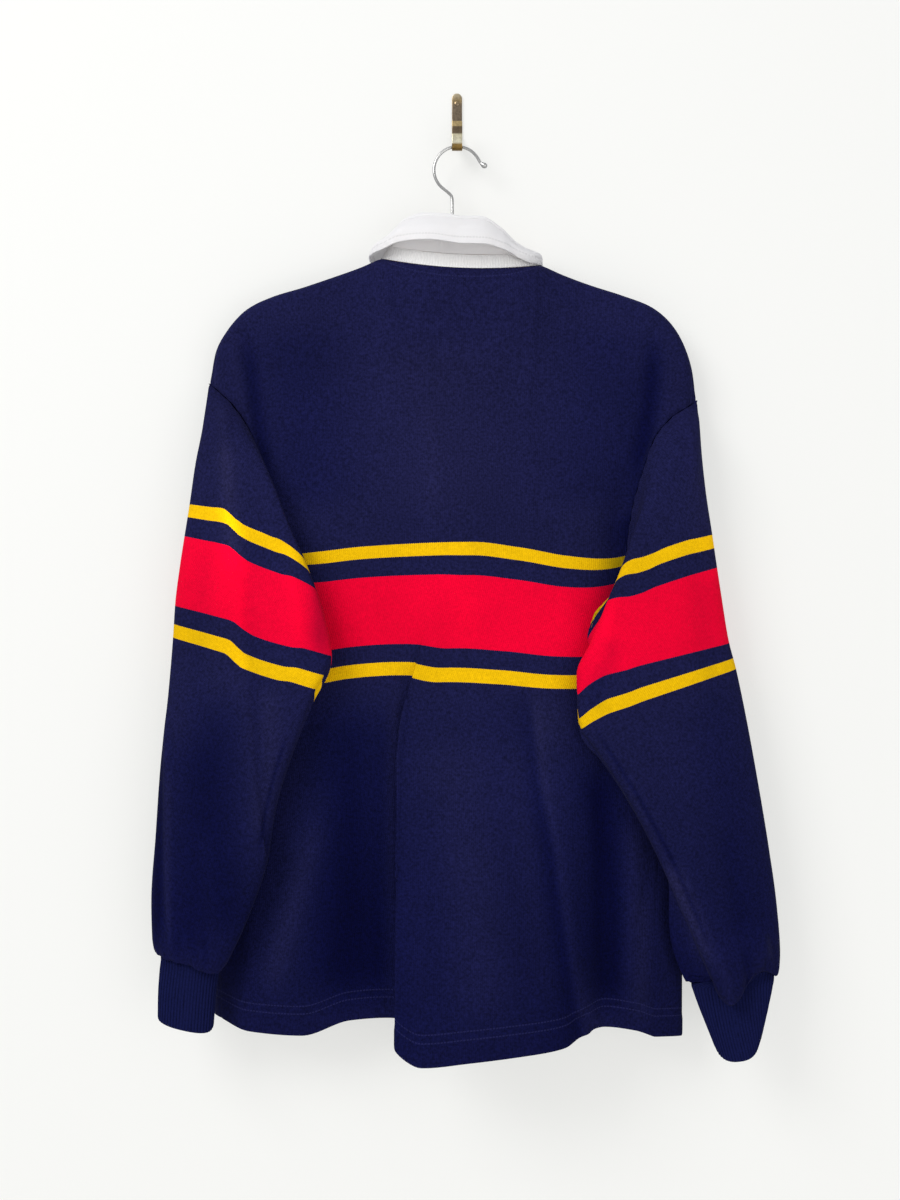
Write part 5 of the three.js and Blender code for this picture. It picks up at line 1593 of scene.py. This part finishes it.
def stage_material(name, text, see_through):
    """A plain pale paint that glows a little, so that the shadows on it stay faint. Where it should let
    the rear views through, its back is clear."""
    material, node, shader = start_material(name)
    pale = np.array(to_linear(text))
    set_inputs(shader, {
        "Base Color": rgba(tuple(pale * (1 - STAGE_GLOW))),
        "Emission Color": rgba(tuple(pale)),
        "Emission Strength": STAGE_GLOW,
        "Roughness": 0.95,
    })
    if see_through:
        backs = node("NewGeometry", output="Backfacing")
        blend = node("MixShader", backs, shader.outputs[0], node("BsdfTransparent"))
        set_inputs(material.node_tree.nodes["Material Output"], {"Surface": blend})
    return material


def stage_plane(name, corners, material):
    """A flat piece of the stage, from corners in mm."""
    made = make_object(name, corners, [(0, 1, 2, 3)], sharp=None)
    made.data.materials.append(material)
    return made


def area_light(name, place, size, power):
    """A soft square lamp that faces the middle of the shirt."""
    lamp = bpy.data.lights.new(name, "AREA")
    lamp.size = size
    lamp.energy = power
    made = bpy.data.objects.new(name, lamp)
    made.location = place
    made.rotation_euler = (Vector(LAMPS_FACE) - Vector(place)).to_track_quat("-Z", "Y").to_euler()
    bpy.context.scene.collection.objects.link(made)


class ShirtStage(bpy.types.Operator):
    """Sets the wall, floor, light and camera"""

    bl_idname = "shirt.stage"
    bl_label = "Stage"

    def execute(self, context):
        scene = context.scene
        foot = [(-WALL_REACH, WALL_GAP, FLOOR_Z), (WALL_REACH, WALL_GAP, FLOOR_Z)]
        top = [(WALL_REACH, WALL_GAP, WALL_TOP), (-WALL_REACH, WALL_GAP, WALL_TOP)]
        front = [(-WALL_REACH, FLOOR_DEPTH, FLOOR_Z), (WALL_REACH, FLOOR_DEPTH, FLOOR_Z)]
        wall = stage_plane("wall", foot + top, stage_material("wall_paint", "#F4F4F1", True))
        wall.visible_diffuse = False
        wall.visible_glossy = False
        wall.visible_shadow = False
        stage_plane("floor", front + foot[::-1], stage_material("floor_paint", "#EDEDEA", False))
        scene.world = bpy.data.worlds.new("pale_room")
        scene.world.use_nodes = True
        set_inputs(scene.world.node_tree.nodes["Background"], {0: SKY_COLOUR, 1: SKY_STRENGTH})
        for lamp in LAMPS:
            area_light(*lamp)
        camera = bpy.data.cameras.new("camera")
        camera.sensor_width = CAMERA_SENSOR
        camera.lens = CAMERA_LENS
        holder = bpy.data.objects.new("camera", camera)
        holder.location = CAMERA_PLACE
        holder.rotation_euler = (math.radians(90), 0, 0)
        scene.collection.objects.link(holder)
        scene.camera = holder
        scene.view_settings.view_transform = "Standard"
        return {"FINISHED"}


OPERATORS = (ShirtStage, ShirtBody, ShirtSleeves, ShirtCollar, ShirtPlacket, ShirtHooks)


class ShirtPanel(bpy.types.Panel):
    """Lists the shirt's sizes, colours and pieces"""

    bl_idname = "VIEW3D_PT_shirt"
    bl_label = "Rugby shirt"
    bl_space_type = "VIEW_3D"
    bl_region_type = "UI"
    bl_category = "Shirt"

    def draw(self, context):
        for group in (context.scene.shirt_sizes, context.scene.shirt_colours):
            box = self.layout.box()
            for name in group.__annotations__:
                box.prop(group, name)
        for operator in OPERATORS:
            self.layout.operator(operator.bl_idname)


CLASSES = (ShirtSizes, ShirtColours, *OPERATORS, ShirtPanel)


def register():
    """Makes the classes and the scene's settings known to Blender."""
    for item in CLASSES:
        bpy.utils.register_class(item)
    bpy.types.Scene.shirt_sizes = PointerProperty(type=ShirtSizes)
    bpy.types.Scene.shirt_colours = PointerProperty(type=ShirtColours)


def unregister():
    """Takes them away again."""
    del bpy.types.Scene.shirt_colours
    del bpy.types.Scene.shirt_sizes
    for item in reversed(CLASSES):
        bpy.utils.unregister_class(item)


def main():
    register()
    for operator in OPERATORS:
        group, name = operator.bl_idname.split(".")
        getattr(getattr(bpy.ops, group), name)()


if __name__ == "__main__":
    main()
